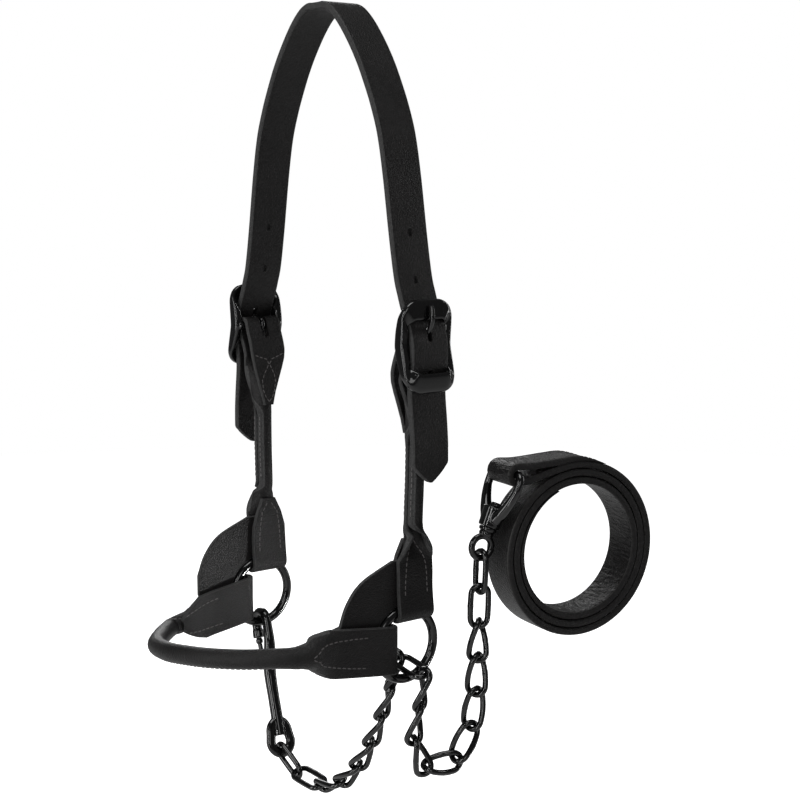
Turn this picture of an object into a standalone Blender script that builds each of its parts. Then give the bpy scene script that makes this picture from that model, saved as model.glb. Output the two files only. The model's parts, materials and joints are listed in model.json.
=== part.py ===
"""A leather show halter with rolled cheeks, a chain lead and a coiled lead strap.

All sizes below are in millimetres. Places are given from a point midway between the two rings'
centres: +X towards the poll side of the rings, -X towards the nose, -Y the near (left) side, +Y
the far side, +Z up. place() moves them to metres from the underside of the crown strap, which is
what the halter hangs on and is the model's origin.
"""

import math

import bmesh
import bpy
from mathutils import Matrix, Vector

MM = 0.001
GAP = 0.3

# Headstall
CROWN_X = 6.0
CROWN_UNDERSIDE = 360.5
CROWN_WIDTH = 25.0
CROWN_THICKNESS = 4.0
CROWN_FLAT = 8.0
CROWN_TIP = 93.0
TIP_LENGTH = 12.0
HOLE_LEVELS = (234.4, 208.3, 156.1)
HOLE_LENGTH = 5.0
HOLE_WIDTH = 2.6
LEATHER = 2.8
CHEEK_WIDTH = 25.0
NOSE_WIDTH = 28.0
FULL_CURL = math.radians(338)
CURL_STEPS = 7
GUSSET_THICKNESS = 2.6

# Rings
RING_X = 1.0
RING_SIDE = 75.5
RING_RADIUS = 20.25
RING_WIRE = 5.5

# Buckles
BAR_SIDE = 81.5
BAR_LEVEL = 172.0
BAR_WIRE = 4.5
FRAME_WIDTH = 38.0
FRAME_HEIGHT = 52.0
FRAME_WIRE = 5.4
FRAME_BOW = 6.3
FRAME_CORNER = 11.0
PLATE_HEIGHT = 11.5
LIP_SIDES = {"upper": 89.4, "lower": 90.4}
LIP_THICKNESS = 3.0
TONGUE_WIRE = 3.0

# Chain
LINK_WIRE = 3.2
LINK_WIDTH = 13.0
LINK_SLACK = 0.8
CHIN_PITCH = 21.6
LEAD_PITCH = 20.4
CHIN_LINKS = 8
LEAD_LINKS = 10

# Snap, from the ring's wire down to the eye
SNAP_WIRE = 5.8
SNAP_HOOK = 6.3
SNAP_EYE_WIRE = 4.8
SNAP_EYE_RADIUS = 6.4
GATE_WIRE = 3.0
SNAP_EYE = (-4.0, 45.0, -98.0)

# Swivel, dee and lead strap, along the lead's plane and up from the chain's last crown
EYE_RADIUS = 6.5
EYE_WIRE = 4.0
EYE_ROOM = 0.3
EYE = (0.0, EYE_RADIUS - (EYE_WIRE + LINK_WIRE + LINK_SLACK) / 2 - EYE_ROOM)
DEE_BAR = (17.2, 44.5)
DEE_WIRE = 5.0
DEE_HALF = 15.8
STRAP_WIDTH = 25.0
STRAP_THICKNESS = 4.2
COIL_CENTRE = (59.9, -4.1)
COIL_RADII = (53.4, 53.8)
COIL_PITCH = 4.8
COIL_TURNS = 3.0
COIL_START = math.radians(112)
COIL_STEPS = 22

X = Vector((1, 0, 0))
Y = Vector((0, 1, 0))
Z = Vector((0, 0, 1))

# The lead's plane stands upright, turned this far from the halter's own
LEAD_YAW = math.radians(10)
LEAD_AHEAD = X * math.cos(LEAD_YAW) - Y * math.sin(LEAD_YAW)
LEAD_ACROSS = X * math.sin(LEAD_YAW) + Y * math.cos(LEAD_YAW)

# How the chain lies: where it crosses the near ring's wire, how steeply, the room between the
# wire's middle and the link's, and each lead link's slope and lean out of the plane, in degrees
SADDLE_AROUND = math.radians(12.9)
SADDLE_DIP = math.radians(12.4)
SADDLE_CLEAR = 6.07
SADDLE_ROLL = math.radians(-3)
LEAD_WAYS = (
    (-98, 7), (-99, 4), (-72, 0), (0, 0), (59, 0), (81, 0), (88, 0), (88, 0), (88, 0), (88, 0),
)
CHIN_EASES = (8, 20, 30, 40, 53, 68, 83, 100)
LEAD_EASES = (-14, 3, 11, 9, 11, 24, 38, 55, 75, 90)

for old in list(bpy.data.objects):
    bpy.data.objects.remove(old)

halter = bpy.data.collections.new("show_halter")
cutters = bpy.data.collections.new("cutters")
bpy.context.scene.collection.children.link(halter)
bpy.context.scene.collection.children.link(cutters)


def material(name, colour, roughness, metallic):
    made = bpy.data.materials.new(name)
    made.use_nodes = True
    shader = made.node_tree.nodes["Principled BSDF"]
    shader.inputs["Base Color"].default_value = (*colour, 1)
    shader.inputs["Roughness"].default_value = roughness
    shader.inputs["Metallic"].default_value = metallic
    made.diffuse_color = (*colour, 1)
    return made


BLACK_LEATHER = material("black_leather", (0.010, 0.009, 0.009), 0.5, 0)
CUT_LEATHER = material("cut_leather", (0.025, 0.022, 0.021), 0.7, 0)
ENAMEL = material("black_enamel", (0.006, 0.006, 0.007), 0.15, 0.4)


def place(x, y, z):
    """A point given in millimetres from ring level, in metres from the crown's underside."""
    return Vector((x - CROWN_X, y, z - CROWN_UNDERSIDE)) * MM


def finish(name, mesh, look, origin, smooth=35):
    """Makes the node: a mesh given in world metres, with the object's origin at that point."""
    mesh.transform(Matrix.Translation(-origin))
    mesh.materials.clear()
    mesh.materials.append(look)
    mesh.shade_smooth()
    mesh.set_sharp_from_angle(angle=math.radians(smooth))
    made = bpy.data.objects.new(name, mesh)
    made.location = origin
    halter.objects.link(made)
    return made


def loft(name, sections):
    """A closed skin over sections that have the same number of points, in world metres."""
    work = bmesh.new()
    rows = [[work.verts.new(point) for point in section] for section in sections]
    count = len(rows[0])
    for first, second in zip(rows, rows[1:]):
        for i in range(count):
            j = (i + 1) % count
            work.faces.new((first[i], first[j], second[j], second[i]))
    work.faces.new(rows[0])
    work.faces.new(rows[-1])
    bmesh.ops.triangulate(work, faces=[face for face in work.faces if len(face.verts) > 4])
    bmesh.ops.recalc_face_normals(work, faces=work.faces)
    mesh = bpy.data.meshes.new(name)
    work.to_mesh(mesh)
    work.free()
    return mesh


def ring_loft(name, sections):
    """A closed skin over sections that run round in a ring, in world metres."""
    work = bmesh.new()
    rows = [[work.verts.new(point) for point in section] for section in sections]
    count = len(rows[0])
    for first, second in zip(rows, rows[1:] + rows[:1]):
        for i in range(count):
            j = (i + 1) % count
            work.faces.new((first[i], first[j], second[j], second[i]))
    bmesh.ops.triangulate(work, faces=work.faces)
    bmesh.ops.recalc_face_normals(work, faces=work.faces)
    mesh = bpy.data.meshes.new(name)
    work.to_mesh(mesh)
    work.free()
    return mesh


def wire_mesh(name, points, wire, closed=False, sides=8, radii=None):
    """A round wire through world points, as a closed mesh."""
    curve = bpy.data.curves.new(name, "CURVE")
    curve.dimensions = "3D"
    curve.bevel_depth = wire / 2 * MM
    curve.bevel_resolution = sides // 2 - 2
    curve.use_fill_caps = not closed
    spline = curve.splines.new("POLY")
    spline.points.add(len(points) - 1)
    for i, (slot, point) in enumerate(zip(spline.points, points)):
        slot.co = (*point, 1)
        slot.radius = radii[i] if radii else 1
    spline.use_cyclic_u = closed
    guide = bpy.data.objects.new(name, curve)
    bpy.context.scene.collection.objects.link(guide)
    bpy.context.view_layer.update()
    graph = bpy.context.evaluated_depsgraph_get()
    mesh = bpy.data.meshes.new_from_object(guide.evaluated_get(graph))
    bpy.data.objects.remove(guide)
    bpy.data.curves.remove(curve)
    work = bmesh.new()
    work.from_mesh(mesh)
    bmesh.ops.remove_doubles(work, verts=work.verts, dist=1e-6)
    bmesh.ops.recalc_face_normals(work, faces=work.faces)
    work.to_mesh(mesh)
    work.free()
    return mesh


def smooth_path(points, step):
    """Points along a curve that runs through the given ones, about that many units apart."""
    ends = [2 * points[0] - points[1], *points, 2 * points[-1] - points[-2]]
    path = []
    for i in range(1, len(ends) - 2):
        a, b, c, d = ends[i - 1:i + 3]
        count = max(1, round((c - b).length / step))
        for k in range(count):
            t = k / count
            path.append(
                0.5 * (2 * b + (c - a) * t + (2 * a - 5 * b + 4 * c - d) * t * t
                       + (3 * b - a - 3 * c + d) * t ** 3)
            )
    path.append(points[-1].copy())
    return path


def cutter(name, mesh):
    made = bpy.data.objects.new(name, mesh)
    made.hide_render = True
    made.display_type = "WIRE"
    cutters.objects.link(made)
    return made


def boolean(target, tool, operation):
    change = target.modifiers.new(tool.name, "BOOLEAN")
    change.operation = operation
    change.object = tool
    change.solver = "EXACT"


def box_mesh(name, centre, size, turn=None):
    work = bmesh.new()
    bmesh.ops.create_cube(work, size=1)
    bmesh.ops.scale(work, vec=Vector(size) * MM, verts=work.verts)
    if turn:
        bmesh.ops.transform(work, matrix=turn, verts=work.verts)
    bmesh.ops.translate(work, vec=centre, verts=work.verts)
    mesh = bpy.data.meshes.new(name)
    work.to_mesh(mesh)
    work.free()
    return mesh


def rod_mesh(name, start, end, wire, end_wire=None, sides=16):
    """A straight round or tapered rod between two world points."""
    work = bmesh.new()
    run = end - start
    bmesh.ops.create_cone(
        work, cap_ends=True, segments=sides, radius1=wire / 2 * MM,
        radius2=(end_wire or wire) / 2 * MM, depth=run.length,
    )
    turn = Z.rotation_difference(run.normalized()).to_matrix().to_4x4()
    bmesh.ops.transform(work, matrix=Matrix.Translation((start + end) / 2) @ turn, verts=work.verts)
    mesh = bpy.data.meshes.new(name)
    work.to_mesh(mesh)
    work.free()
    return mesh


# Rings: one welded wire ring on each side, which holds cheek, noseband and gusset together.

def ring(name, side):
    bpy.ops.mesh.primitive_torus_add(
        major_radius=RING_RADIUS * MM, minor_radius=RING_WIRE / 2 * MM,
        major_segments=32, minor_segments=8,
        location=place(RING_X, side * RING_SIDE, 0), rotation=(math.pi / 2, 0, 0),
    )
    made = bpy.context.object
    made.name = name
    for owner in list(made.users_collection):
        owner.objects.unlink(made)
    halter.objects.link(made)
    made.data.materials.append(ENAMEL)
    made.data.shade_smooth()


def ring_channel(name, side):
    """The room that a ring's wire has pressed for itself in the leather round it."""
    bpy.ops.mesh.primitive_torus_add(
        major_radius=RING_RADIUS * MM, minor_radius=(RING_WIRE / 2 + 1.4 * GAP) * MM,
        major_segments=48, minor_segments=12,
        location=place(RING_X, side * RING_SIDE, 0), rotation=(math.pi / 2, 0, 0),
    )
    made = bpy.context.object
    mesh = made.data
    mesh.transform(made.matrix_world)
    bpy.data.objects.remove(made)
    return cutter(name, mesh)


# Crown strap: one strap over the poll, through both buckles, with a pointed tail on each side.

CROWN_LINE = (
    (CROWN_FLAT, 362.5), (15, 359.6), (23.5, 352.5), (33, 341.5), (41.5, 329.5),
    (48.6, 317), (55, 304), (61, 288), (66, 265), (71.5, 232), (75.8, 210), (79.2, 200),
    (82, 193), (86.5, 183.5), (89.3, 176), (89.6, 169), (87.0, 160), (83.2, 151), (82.6, 143),
    (85, 130), (86.8, 118), (87, 105),
)


def crown_section(point, along, width):
    """Rounded-edge rectangle across the strap."""
    out = Vector((0, -along.z, along.y)).normalized()
    half = width / 2
    rise = CROWN_THICKNESS / 2
    edge = min(0.8, half * 0.4)
    outline = (
        (half, rise - edge), (half - edge, rise), (edge - half, rise), (-half, rise - edge),
        (-half, edge - rise), (edge - half, -rise), (half - edge, -rise), (half, edge - rise),
    )
    return [place(CROWN_X + a, point.y, point.z) + out * b * MM for a, b in outline]


def crown():
    side = [Vector((0, y, z)) for y, z in CROWN_LINE]
    line = smooth_path(side, 9)
    tip = [Vector((0, line[-1].y, CROWN_TIP + TIP_LENGTH * t)) for t in (0.6, 0.3, 0.1, 0)]
    half_widths = [CROWN_WIDTH / 2] * len(line) + [9.4, 5.6, 2.4, 0.8]
    line += tip
    mirrored = [Vector((0, -point.y, point.z)) for point in reversed(line)]
    path = mirrored + line
    widths = [2 * half for half in half_widths[::-1] + half_widths]
    sections = []
    for i, point in enumerate(path):
        before = path[max(i - 1, 0)]
        after = path[min(i + 1, len(path) - 1)]
        along = (after - before).normalized()
        if abs(point.y) <= CROWN_FLAT:
            along = Y
        sections.append(crown_section(point, along, widths[i]))
    made = finish("crown_strap", loft("crown_strap", sections), BLACK_LEATHER, Vector())
    for side_sign, word in ((-1, "near"), (1, "far")):
        for level in HOLE_LEVELS:
            y = crown_side(line, level) * side_sign
            hole = box_mesh("hole", place(CROWN_X, y, level), (HOLE_WIDTH, 14, HOLE_LENGTH))
            boolean(made, cutter(f"{word}_hole_{level:.0f}", hole), "DIFFERENCE")
        slot = box_mesh("slot", place(CROWN_X, side_sign * 88.5, 179), (TONGUE_WIRE + 1.6, 12, 13))
        boolean(made, cutter(f"{word}_tongue_slot", slot), "DIFFERENCE")


def crown_side(line, level):
    """How far out the strap's middle is at that level, on its way down to the buckle."""
    for upper, lower in zip(line, line[1:]):
        if upper.z >= level > lower.z:
            share = (upper.z - level) / (upper.z - lower.z)
            return upper.y + share * (lower.y - upper.y)
    return line[-1].y


# Rolled strips: cheeks and noseband are each one strip that lies flat where it is folded round
# a bar or a ring and sewn to itself, and is curled round a cord between.

def curl_section(centre, out, across, width, curl):
    """The strip's section at that curl angle: flat at 0, nearly a full tube at FULL_CURL."""
    curl = max(curl, 0.02)
    radius = width / curl
    sunk = radius * math.sin(curl / 2) / (curl / 2)
    steps = CURL_STEPS
    angles = [curl * (i / steps - 0.5) for i in range(steps + 1)]
    outer = [(radius + LEATHER / 2, angle) for angle in angles]
    inner = [(radius - LEATHER / 2, angle) for angle in reversed(angles)]
    return [
        centre + (across * r * math.sin(a) + out * (r * math.cos(a) - sunk)) * MM
        for r, a in outer + inner
    ]


def curled_strip(name, stations, across, side):
    """Lofts (centre, width, curl) stations, and adds the cord inside where they are fully curled.

    'side' turns the strip's outer face outwards.
    """
    places = [station[0] for station in stations]
    sections = []
    cord = []
    for i, (centre, width, curl) in enumerate(stations):
        along = (places[min(i + 1, len(places) - 1)] - places[max(i - 1, 0)]).normalized()
        level = (across - along * across.dot(along)).normalized()
        out = side * level.cross(along).normalized()
        sections.append(curl_section(centre, out, level, width, curl))
        if curl > 0.97 * FULL_CURL:
            sunk = width / curl * math.sin(curl / 2) / (curl / 2)
            cord.append(centre - out * sunk * MM)
            bore = (width / curl - LEATHER / 2) * math.cos(curl / CURL_STEPS / 2)
    mesh = wire_mesh(f"{name}_core", cord, 2 * (bore - GAP))
    finish(f"{name}_core", mesh, CUT_LEATHER, cord[0])
    return finish(name, loft(name, sections), BLACK_LEATHER, Vector())


def arc(centre, radius, start, end, steps):
    """(a, b) points on a circle in a plane, angles in degrees."""
    turns = [math.radians(start + (end - start) * i / steps) for i in range(steps + 1)]
    return [(centre[0] + radius * math.cos(t), centre[1] + radius * math.sin(t)) for t in turns]


def cheek_stations(side):
    """Up the inner ply, over the buckle's bar, down the outer side, under the ring's wire, up."""
    wrap = BAR_WIRE / 2 + GAP + LEATHER / 2
    flat = CHEEK_WIDTH
    rows = [(74.9, 126.5, 1.5, 0), (74.3, 131, 14, 0), (73.2, 136, 22.5, 0), (71.8, 144, flat, 0),
            (71.6, 153, flat, 0), (73.6, 162, flat, 0), (76.4, 168.5, flat, 0)]
    rows += [(y, z, flat, 0) for y, z in arc((BAR_SIDE, BAR_LEVEL), wrap, 170, 0, 5)]
    rows += [(84.2, 164.5, flat, 0), (80.8, 157, flat, 0), (78.7, 150, flat, 0),
             (78.3, 140, flat, 0), (78.2, 131, flat, 0)]
    turns = 5
    for i in range(turns + 1):
        share = i / turns
        rows.append((78.2, 129 - 21 * share, flat, FULL_CURL * (0.06 + 0.94 * share ** 1.3)))
    rows += [(78.0, 98, flat, FULL_CURL), (77.7, 89, flat, FULL_CURL), (77.3, 80, flat, FULL_CURL),
             (77.1, 72, flat, FULL_CURL)]
    for i in range(turns + 1):
        share = 1 - i / turns
        level = 66 - 13 * i / turns
        drift = 77.0 + 1.0 * (1 - share)
        rows.append((drift, level, flat, FULL_CURL * (0.06 + 0.94 * share ** 1.3)))
    apart = GUSSET_THICKNESS / 2 + GAP + LEATHER / 2
    wide = RING_WIRE / 2 + GAP + LEATHER / 2
    rows += [(RING_SIDE + apart, 50.5, flat, 0), (RING_SIDE + apart, 34, flat, 0),
             (RING_SIDE + apart + 0.5, 27, flat, 0)]
    rows += [(y, z, flat, 0) for y, z in arc((RING_SIDE, 19.0), wide, 0, -180, 6)]
    rows += [(RING_SIDE - apart - 0.5, 27, flat, 0), (RING_SIDE - apart, 34, flat, 0),
             (RING_SIDE - apart, 43, 24, 0), (RING_SIDE - apart, 52, 18.5, 0),
             (RING_SIDE - apart + 0.4, 61, 10, 0)]
    stations = []
    for y, z, width, curl in rows:
        drift = 8.0 - 2.0 * min(max((z - 60) / 60, 0), 1)
        stations.append((place(drift, side * y, z), width, curl))
    return stations


def cheek(word, side):
    stations = cheek_stations(side)
    made = curled_strip(f"{word}_cheek", stations, X, -side)
    boolean(made, ring_channel(f"{word}_cheek_channel", side), "DIFFERENCE")
    slot = box_mesh("slot", place(CROWN_X, side * 84, 171), (TONGUE_WIRE + 2, 24, 17))
    boolean(made, cutter(f"{word}_knuckle_slot", slot), "DIFFERENCE")


NOSE_LINE = (
    (-66, -76.6, 5.0), (-76, -72.6, 5.6), (-86, -66, 5.4), (-95, -57, 4.6), (-102, -46, 3.6),
    (-107, -33, 2.2), (-109.5, -18, 0.4), (-110, -2, -1.8), (-107, 14, -4.2), (-101.5, 29, -6.8),
    (-94, 42.5, -9.2), (-85, 55, -11), (-76, 66, -12.2), (-66, 75.6, -12.6),
)


def nose_level(x, side):
    """Height of the noseband's middle line beside the rings."""
    share = min(max((-5 - x) / 43, 0), 1.5)
    return -1.5 + (5.0 if side < 0 else -8.0) * share


def nose_fold(side):
    """From the end of the inner ply back to the ring, round its wire, and forward outside it."""
    apart = GUSSET_THICKNESS / 2 + GAP + LEATHER / 2
    wide = RING_WIRE / 2 + GAP + LEATHER / 2
    thin = GAP + LEATHER / 2
    flat = NOSE_WIDTH
    rows = [(-64.5, RING_SIDE - thin, 1.5, 0), (-60, RING_SIDE - thin, 12, 0),
            (-55, RING_SIDE - thin - 0.6, 22.5, 0), (-49, RING_SIDE - apart - 0.2, flat, 0),
            (-38, RING_SIDE - apart - 0.1, flat, 0), (-28, RING_SIDE - wide + 0.6, flat, 0),
            (-19, RING_SIDE - wide, flat, 0)]
    rows += [(x, y, flat, 0) for x, y in arc((-9.5, RING_SIDE), wide, -90, 90, 6)]
    rows += [(-19, RING_SIDE + wide, flat, 0), (-28, RING_SIDE + wide - 0.6, flat, 0),
             (-38, RING_SIDE + apart + 0.1, flat, 0), (-49, RING_SIDE + apart + 0.2, flat, 0),
             (-55, RING_SIDE + apart - 0.6, flat, 0.08 * FULL_CURL)]
    return [(place(x, side * y, nose_level(x, side)), width, curl) for x, y, width, curl in rows]


def noseband():
    loop = smooth_path([Vector(point) for point in NOSE_LINE], 9)
    rolled = []
    for point in loop:
        share = min(max((-62 - point.x) / 18, 0), 1)
        curl = FULL_CURL * (0.25 + 0.75 * share)
        rolled.append((place(*point), NOSE_WIDTH, curl))
    stations = nose_fold(-1) + rolled + nose_fold(1)[::-1]
    made = curled_strip("noseband", stations, Z, 1)
    for side, word in ((-1, "near"), (1, "far")):
        boolean(made, ring_channel(f"{word}_nose_channel", side), "DIFFERENCE")


# Gussets: a flat piece on each side, sewn between the plies of cheek and noseband.

def gusset(word, side):
    edge = smooth_path([Vector(p) for p in ((-9, 50, 0), (-30, 41, 0), (-40.5, 30, 0), (-46, 17, 0))], 7)
    outline = [(13, 50)] + [(point.x, point.y) for point in edge] + [(-46, 4), (-30, 2)]
    clear = RING_RADIUS + RING_WIRE / 2 + 0.8
    outline += arc((RING_X, 0), clear, 176, 60, 8)
    half = GUSSET_THICKNESS / 2
    sections = [
        [place(x, side * RING_SIDE + depth, z) for x, z in outline] for depth in (-half, half)
    ]
    finish(f"{word}_gusset", loft(f"{word}_gusset", sections), BLACK_LEATHER, Vector())


# Buckles: a bowed centre-bar frame and a wire tongue on each side.

def frame_depth(level, bowed):
    """How far out the frame's middle is: its slim sides bow in, its plates' lips stand out."""
    tall = (FRAME_HEIGHT - FRAME_WIRE) / 2
    side = BAR_SIDE + FRAME_BOW * min(1, abs(level) / (tall - 1)) ** 1.6
    window = FRAME_HEIGHT / 2 - PLATE_HEIGHT
    share = min(max((abs(level) - window + 4) / 3.6, 0), 1)
    lip = LIP_SIDES["upper"] if level > 0 else LIP_SIDES["lower"]
    return side if bowed else side + (lip - side) * share * share * (3 - 2 * share)


def rounded_box(half_width, half_height, corner, side_steps):
    """Points round a box with rounded corners, anticlockwise, with the same count for any size."""
    points = []
    for sign_x, sign_z, start in ((1, 1, 0), (-1, 1, 90), (-1, -1, 180), (1, -1, 270)):
        points += arc((sign_x * (half_width - corner), sign_z * (half_height - corner)),
                      corner, start, start + 90, 4)
        along = half_height - corner
        if start in (0, 180):
            points.append((0, sign_z * half_height))
        else:
            steps = [1 - 2 * i / side_steps for i in range(1, side_steps)]
            points += [(sign_x * half_width, sign_z * along * step) for step in steps]
    return points


def buckle(word, side):
    """Cast frame: a broad plate above and below a window, joined by slim sides, and a round bar."""
    outer = rounded_box(FRAME_WIDTH / 2, FRAME_HEIGHT / 2, FRAME_CORNER, 6)
    inner = rounded_box(FRAME_WIDTH / 2 - FRAME_WIRE, FRAME_HEIGHT / 2 - PLATE_HEIGHT, 3, 6)
    sections = []
    for (a, b), (c, d) in zip(outer, inner):
        start = Vector((CROWN_X + a, frame_depth(b, True), BAR_LEVEL + b))
        end = Vector((CROWN_X + c, frame_depth(d, False), BAR_LEVEL + d))
        across = (end - start).normalized()
        plate = min(max((abs(d) - 8) / 4, 0), 1)
        rim = FRAME_WIRE / 2 - GAP
        lip = (FRAME_WIRE + (LIP_THICKNESS - FRAME_WIRE) * plate) / 2
        edge = 1.3
        corners = [start + across * edge + Y * rim, end - across * edge + Y * lip,
                   end + Y * (lip - edge * 0.8), end - Y * (lip - edge * 0.8),
                   end - across * edge - Y * lip, start + across * edge - Y * rim,
                   start - Y * (rim - edge), start + Y * (rim - edge)]
        sections.append([place(p.x, side * p.y, p.z) for p in corners])
    frame = finish(
        f"{word}_buckle_frame", ring_loft("frame", sections), ENAMEL,
        place(CROWN_X, side * BAR_SIDE, BAR_LEVEL),
    )
    half = (FRAME_WIDTH - FRAME_WIRE) / 2
    ends = [place(CROWN_X + sign * half, side * BAR_SIDE, BAR_LEVEL) for sign in (-1, 1)]
    boolean(frame, cutter(f"{word}_bar", rod_mesh("bar", *ends, BAR_WIRE, sides=12)), "UNION")


def tongue(word, side):
    knuckle = BAR_WIRE / 2 + GAP + TONGUE_WIRE / 2
    eye = [place(CROWN_X, side * y, z) for y, z in arc((BAR_SIDE, BAR_LEVEL), knuckle, 0, 330, 11)]
    mesh = wire_mesh("tongue_eye", eye, TONGUE_WIRE, closed=True)
    made = finish(f"{word}_buckle_tongue", mesh, ENAMEL, place(CROWN_X, side * BAR_SIDE, BAR_LEVEL))
    stem = [(84.4, 174.9), (87.9, 178.4), (91.3, 182.6), (93.1, 187), (93.1, 190.5), (92.5, 194.5)]
    points = smooth_path([place(CROWN_X, side * y, z) for y, z in stem], 3.2 * MM)
    boolean(made, cutter(f"{word}_stem", wire_mesh("stem", points, TONGUE_WIRE)), "UNION")


# Chain: links of round wire. Two by each fitting are plain; the rest are twisted a quarter turn,
# so that the chain lies flat.

def link_mesh(name, pitch, twist):
    """One link about its own middle, its long way along Z."""
    radius = (LINK_WIDTH - LINK_WIRE) / 2
    reach = (pitch + LINK_SLACK + LINK_WIRE) / 2
    shoulder = reach - radius
    loop = arc((0, shoulder), radius, 0, 180, 6)
    loop += [(-radius, shoulder * share) for share in (0.5, 0, -0.5)]
    loop += arc((0, -shoulder), radius, 180, 360, 6)
    loop += [(radius, -shoulder * share) for share in (0.5, 0, -0.5)]
    points = []
    for across, along in loop:
        turn = twist * min(max(along / reach, -1), 1) / 2
        points.append(Vector((across * math.cos(turn), across * math.sin(turn), along)) * MM)
    mesh = wire_mesh(name, points, LINK_WIRE, closed=True, sides=6)
    mesh.materials.append(ENAMEL)
    mesh.shade_smooth()
    return mesh


def chain_offsets(count, pitch, pull, lift):
    """Joints of a hanging chain in its own plane, for a sideways pull and an end lift."""
    run = rise = 0.0
    joints = [(run, rise)]
    for i in range(count):
        slope = math.atan2(lift + i + 0.5, pull)
        run += pitch * math.cos(slope)
        rise += pitch * math.sin(slope)
        joints.append((run, rise))
    return joints


def hang(start, end, count, pitch):
    """Joints of a chain of equal links that hangs between two points, in the same units."""
    flat = Vector((end.x - start.x, end.y - start.y, 0))
    run, rise = flat.length, end.z - start.z
    weak, strong = 1e-3, 50.0
    for _ in range(50):
        pull = math.sqrt(weak * strong)
        low, high = -count - 60 * pull, count + 60 * pull
        for _ in range(50):
            lift = (low + high) / 2
            if chain_offsets(count, pitch, pull, lift)[-1][1] < rise:
                low = lift
            else:
                high = lift
        if chain_offsets(count, pitch, pull, lift)[-1][0] < run:
            weak = pull
        else:
            strong = pull
    ahead = flat.normalized()
    return [start + ahead * s + Z * z for s, z in chain_offsets(count, pitch, pull, lift)]


class Link:
    """A link on its way: its mesh's size and twist, its long way and the way that its width lies."""

    def __init__(self, name, pitch, plain, along, normal, roll):
        self.name = name
        self.length = pitch + LINK_WIRE + LINK_SLACK
        self.twist = 0 if plain else math.pi / 2
        self.mesh = LINK_MESHES[pitch, self.twist]
        self.along = along.normalized()
        self.normal = (normal - self.along * normal.dot(self.along)).normalized()
        self.roll = roll

    def width(self, turn=0.0):
        """Where its width lies at that much twist from its middle."""
        angle = self.roll + turn
        return self.normal * math.cos(angle) + self.along.cross(self.normal) * math.sin(angle)

    def hook_on(self, last):
        """Puts its first crown through the last link's crown, both bearing halfway round the bend."""
        self.start = last.end - bearing(
            last.along, self.along, last.width(last.twist / 2), self.width(-self.twist / 2)
        )
        self.end = self.start + self.along * self.length

    def add(self):
        width = self.width()
        turn = Matrix((width, self.along.cross(width), self.along)).transposed().to_4x4()
        made = bpy.data.objects.new(self.name, self.mesh)
        made.matrix_world = Matrix.Translation(place(*((self.start + self.end) / 2))) @ turn
        halter.objects.link(made)


def bearing(along, onward, width, next_width):
    """From the next link's first crown to this link's last one.

    A crown that lies in the plane of the bend is borne on at the side of its arc, not at its tip.
    """
    radius = (LINK_WIDTH - LINK_WIRE) / 2
    apart = LINK_WIRE + LINK_SLACK
    halfway = (along + onward).normalized()
    bend = along.cross(onward)
    if bend.length < 0.02:
        return halfway * apart
    bend.normalize()
    in_plane = 1 - width.dot(bend) ** 2
    next_in_plane = 1 - next_width.dot(bend) ** 2
    share = in_plane / (in_plane + next_in_plane)
    return (along * share + onward * (1 - share)) * radius - halfway * (radius - apart)


def chain_rolls(count, plain, first, eases):
    """Each link's roll: its crowns cross its neighbours', and the run eases round as it goes."""
    rolls = []
    for i in range(count):
        half_twist = 0 if i in plain else math.pi / 4
        rolls.append(first + math.radians(eases[i]) + half_twist)
        first += math.pi / 2 if i in plain else math.pi
    return rolls


def saddle():
    """The plain link that lies across the near ring's wire, part of the way round from its foot."""
    tangent = Vector((math.cos(SADDLE_AROUND), 0, math.sin(SADDLE_AROUND)))
    outward = Vector((math.sin(SADDLE_AROUND), 0, -math.cos(SADDLE_AROUND)))
    along = -Y * math.cos(SADDLE_DIP) + outward * math.sin(SADDLE_DIP)
    off = -Y * math.sin(SADDLE_DIP) - outward * math.cos(SADDLE_DIP)
    link = Link("saddle_link", LEAD_PITCH, True, along, tangent, SADDLE_ROLL)
    wire = Vector((RING_X, -RING_SIDE, 0)) + outward * RING_RADIUS
    middle = wire + off * SADDLE_CLEAR
    link.start = middle - link.along * link.length / 2
    link.end = middle + link.along * link.length / 2
    return link


def chin_run(held):
    """Links that hang from the snap's eye up to the saddle link, fitted in a few rounds."""
    eye = Vector(SNAP_EYE)
    rolls = chain_rolls(CHIN_LINKS, (0, 1), math.pi / 2, CHIN_EASES)
    target = held.start.copy()
    for _ in range(6):
        joints = hang(eye, target, CHIN_LINKS, CHIN_PITCH)
        run = []
        for i, (start, end) in enumerate(zip(joints, joints[1:])):
            link = Link(f"chin_link_{i + 1}", CHIN_PITCH, i < 2, end - start, X, rolls[i])
            if run:
                link.hook_on(run[-1])
            else:
                seat = (SNAP_EYE_WIRE + LINK_WIRE + LINK_SLACK) / 2 + EYE_ROOM
                link.start = eye - link.along * seat
                link.end = link.start + link.along * link.length
            run.append(link)
        last = run[-1]
        hook = bearing(last.along, held.along, last.width(last.twist / 2), held.width())
        target += held.start + hook - last.end
    return run


def lead_run(held):
    """Links that hang from the saddle link in a loop and rise to the swivel."""
    rolls = chain_rolls(LEAD_LINKS, (LEAD_LINKS - 2, LEAD_LINKS - 1), 0, LEAD_EASES)
    run = [held]
    for i, (slope, aside) in enumerate(LEAD_WAYS):
        slope, aside = math.radians(slope), math.radians(aside)
        level = LEAD_AHEAD * math.cos(slope) + Z * math.sin(slope)
        along = level * math.cos(aside) + LEAD_ACROSS * math.sin(aside)
        plain = i >= LEAD_LINKS - 2
        run.append(Link(f"lead_link_{i + 1}", LEAD_PITCH, plain, along, LEAD_ACROSS, rolls[i]))
        run[-1].hook_on(run[-2])
    return run[1:]


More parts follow.
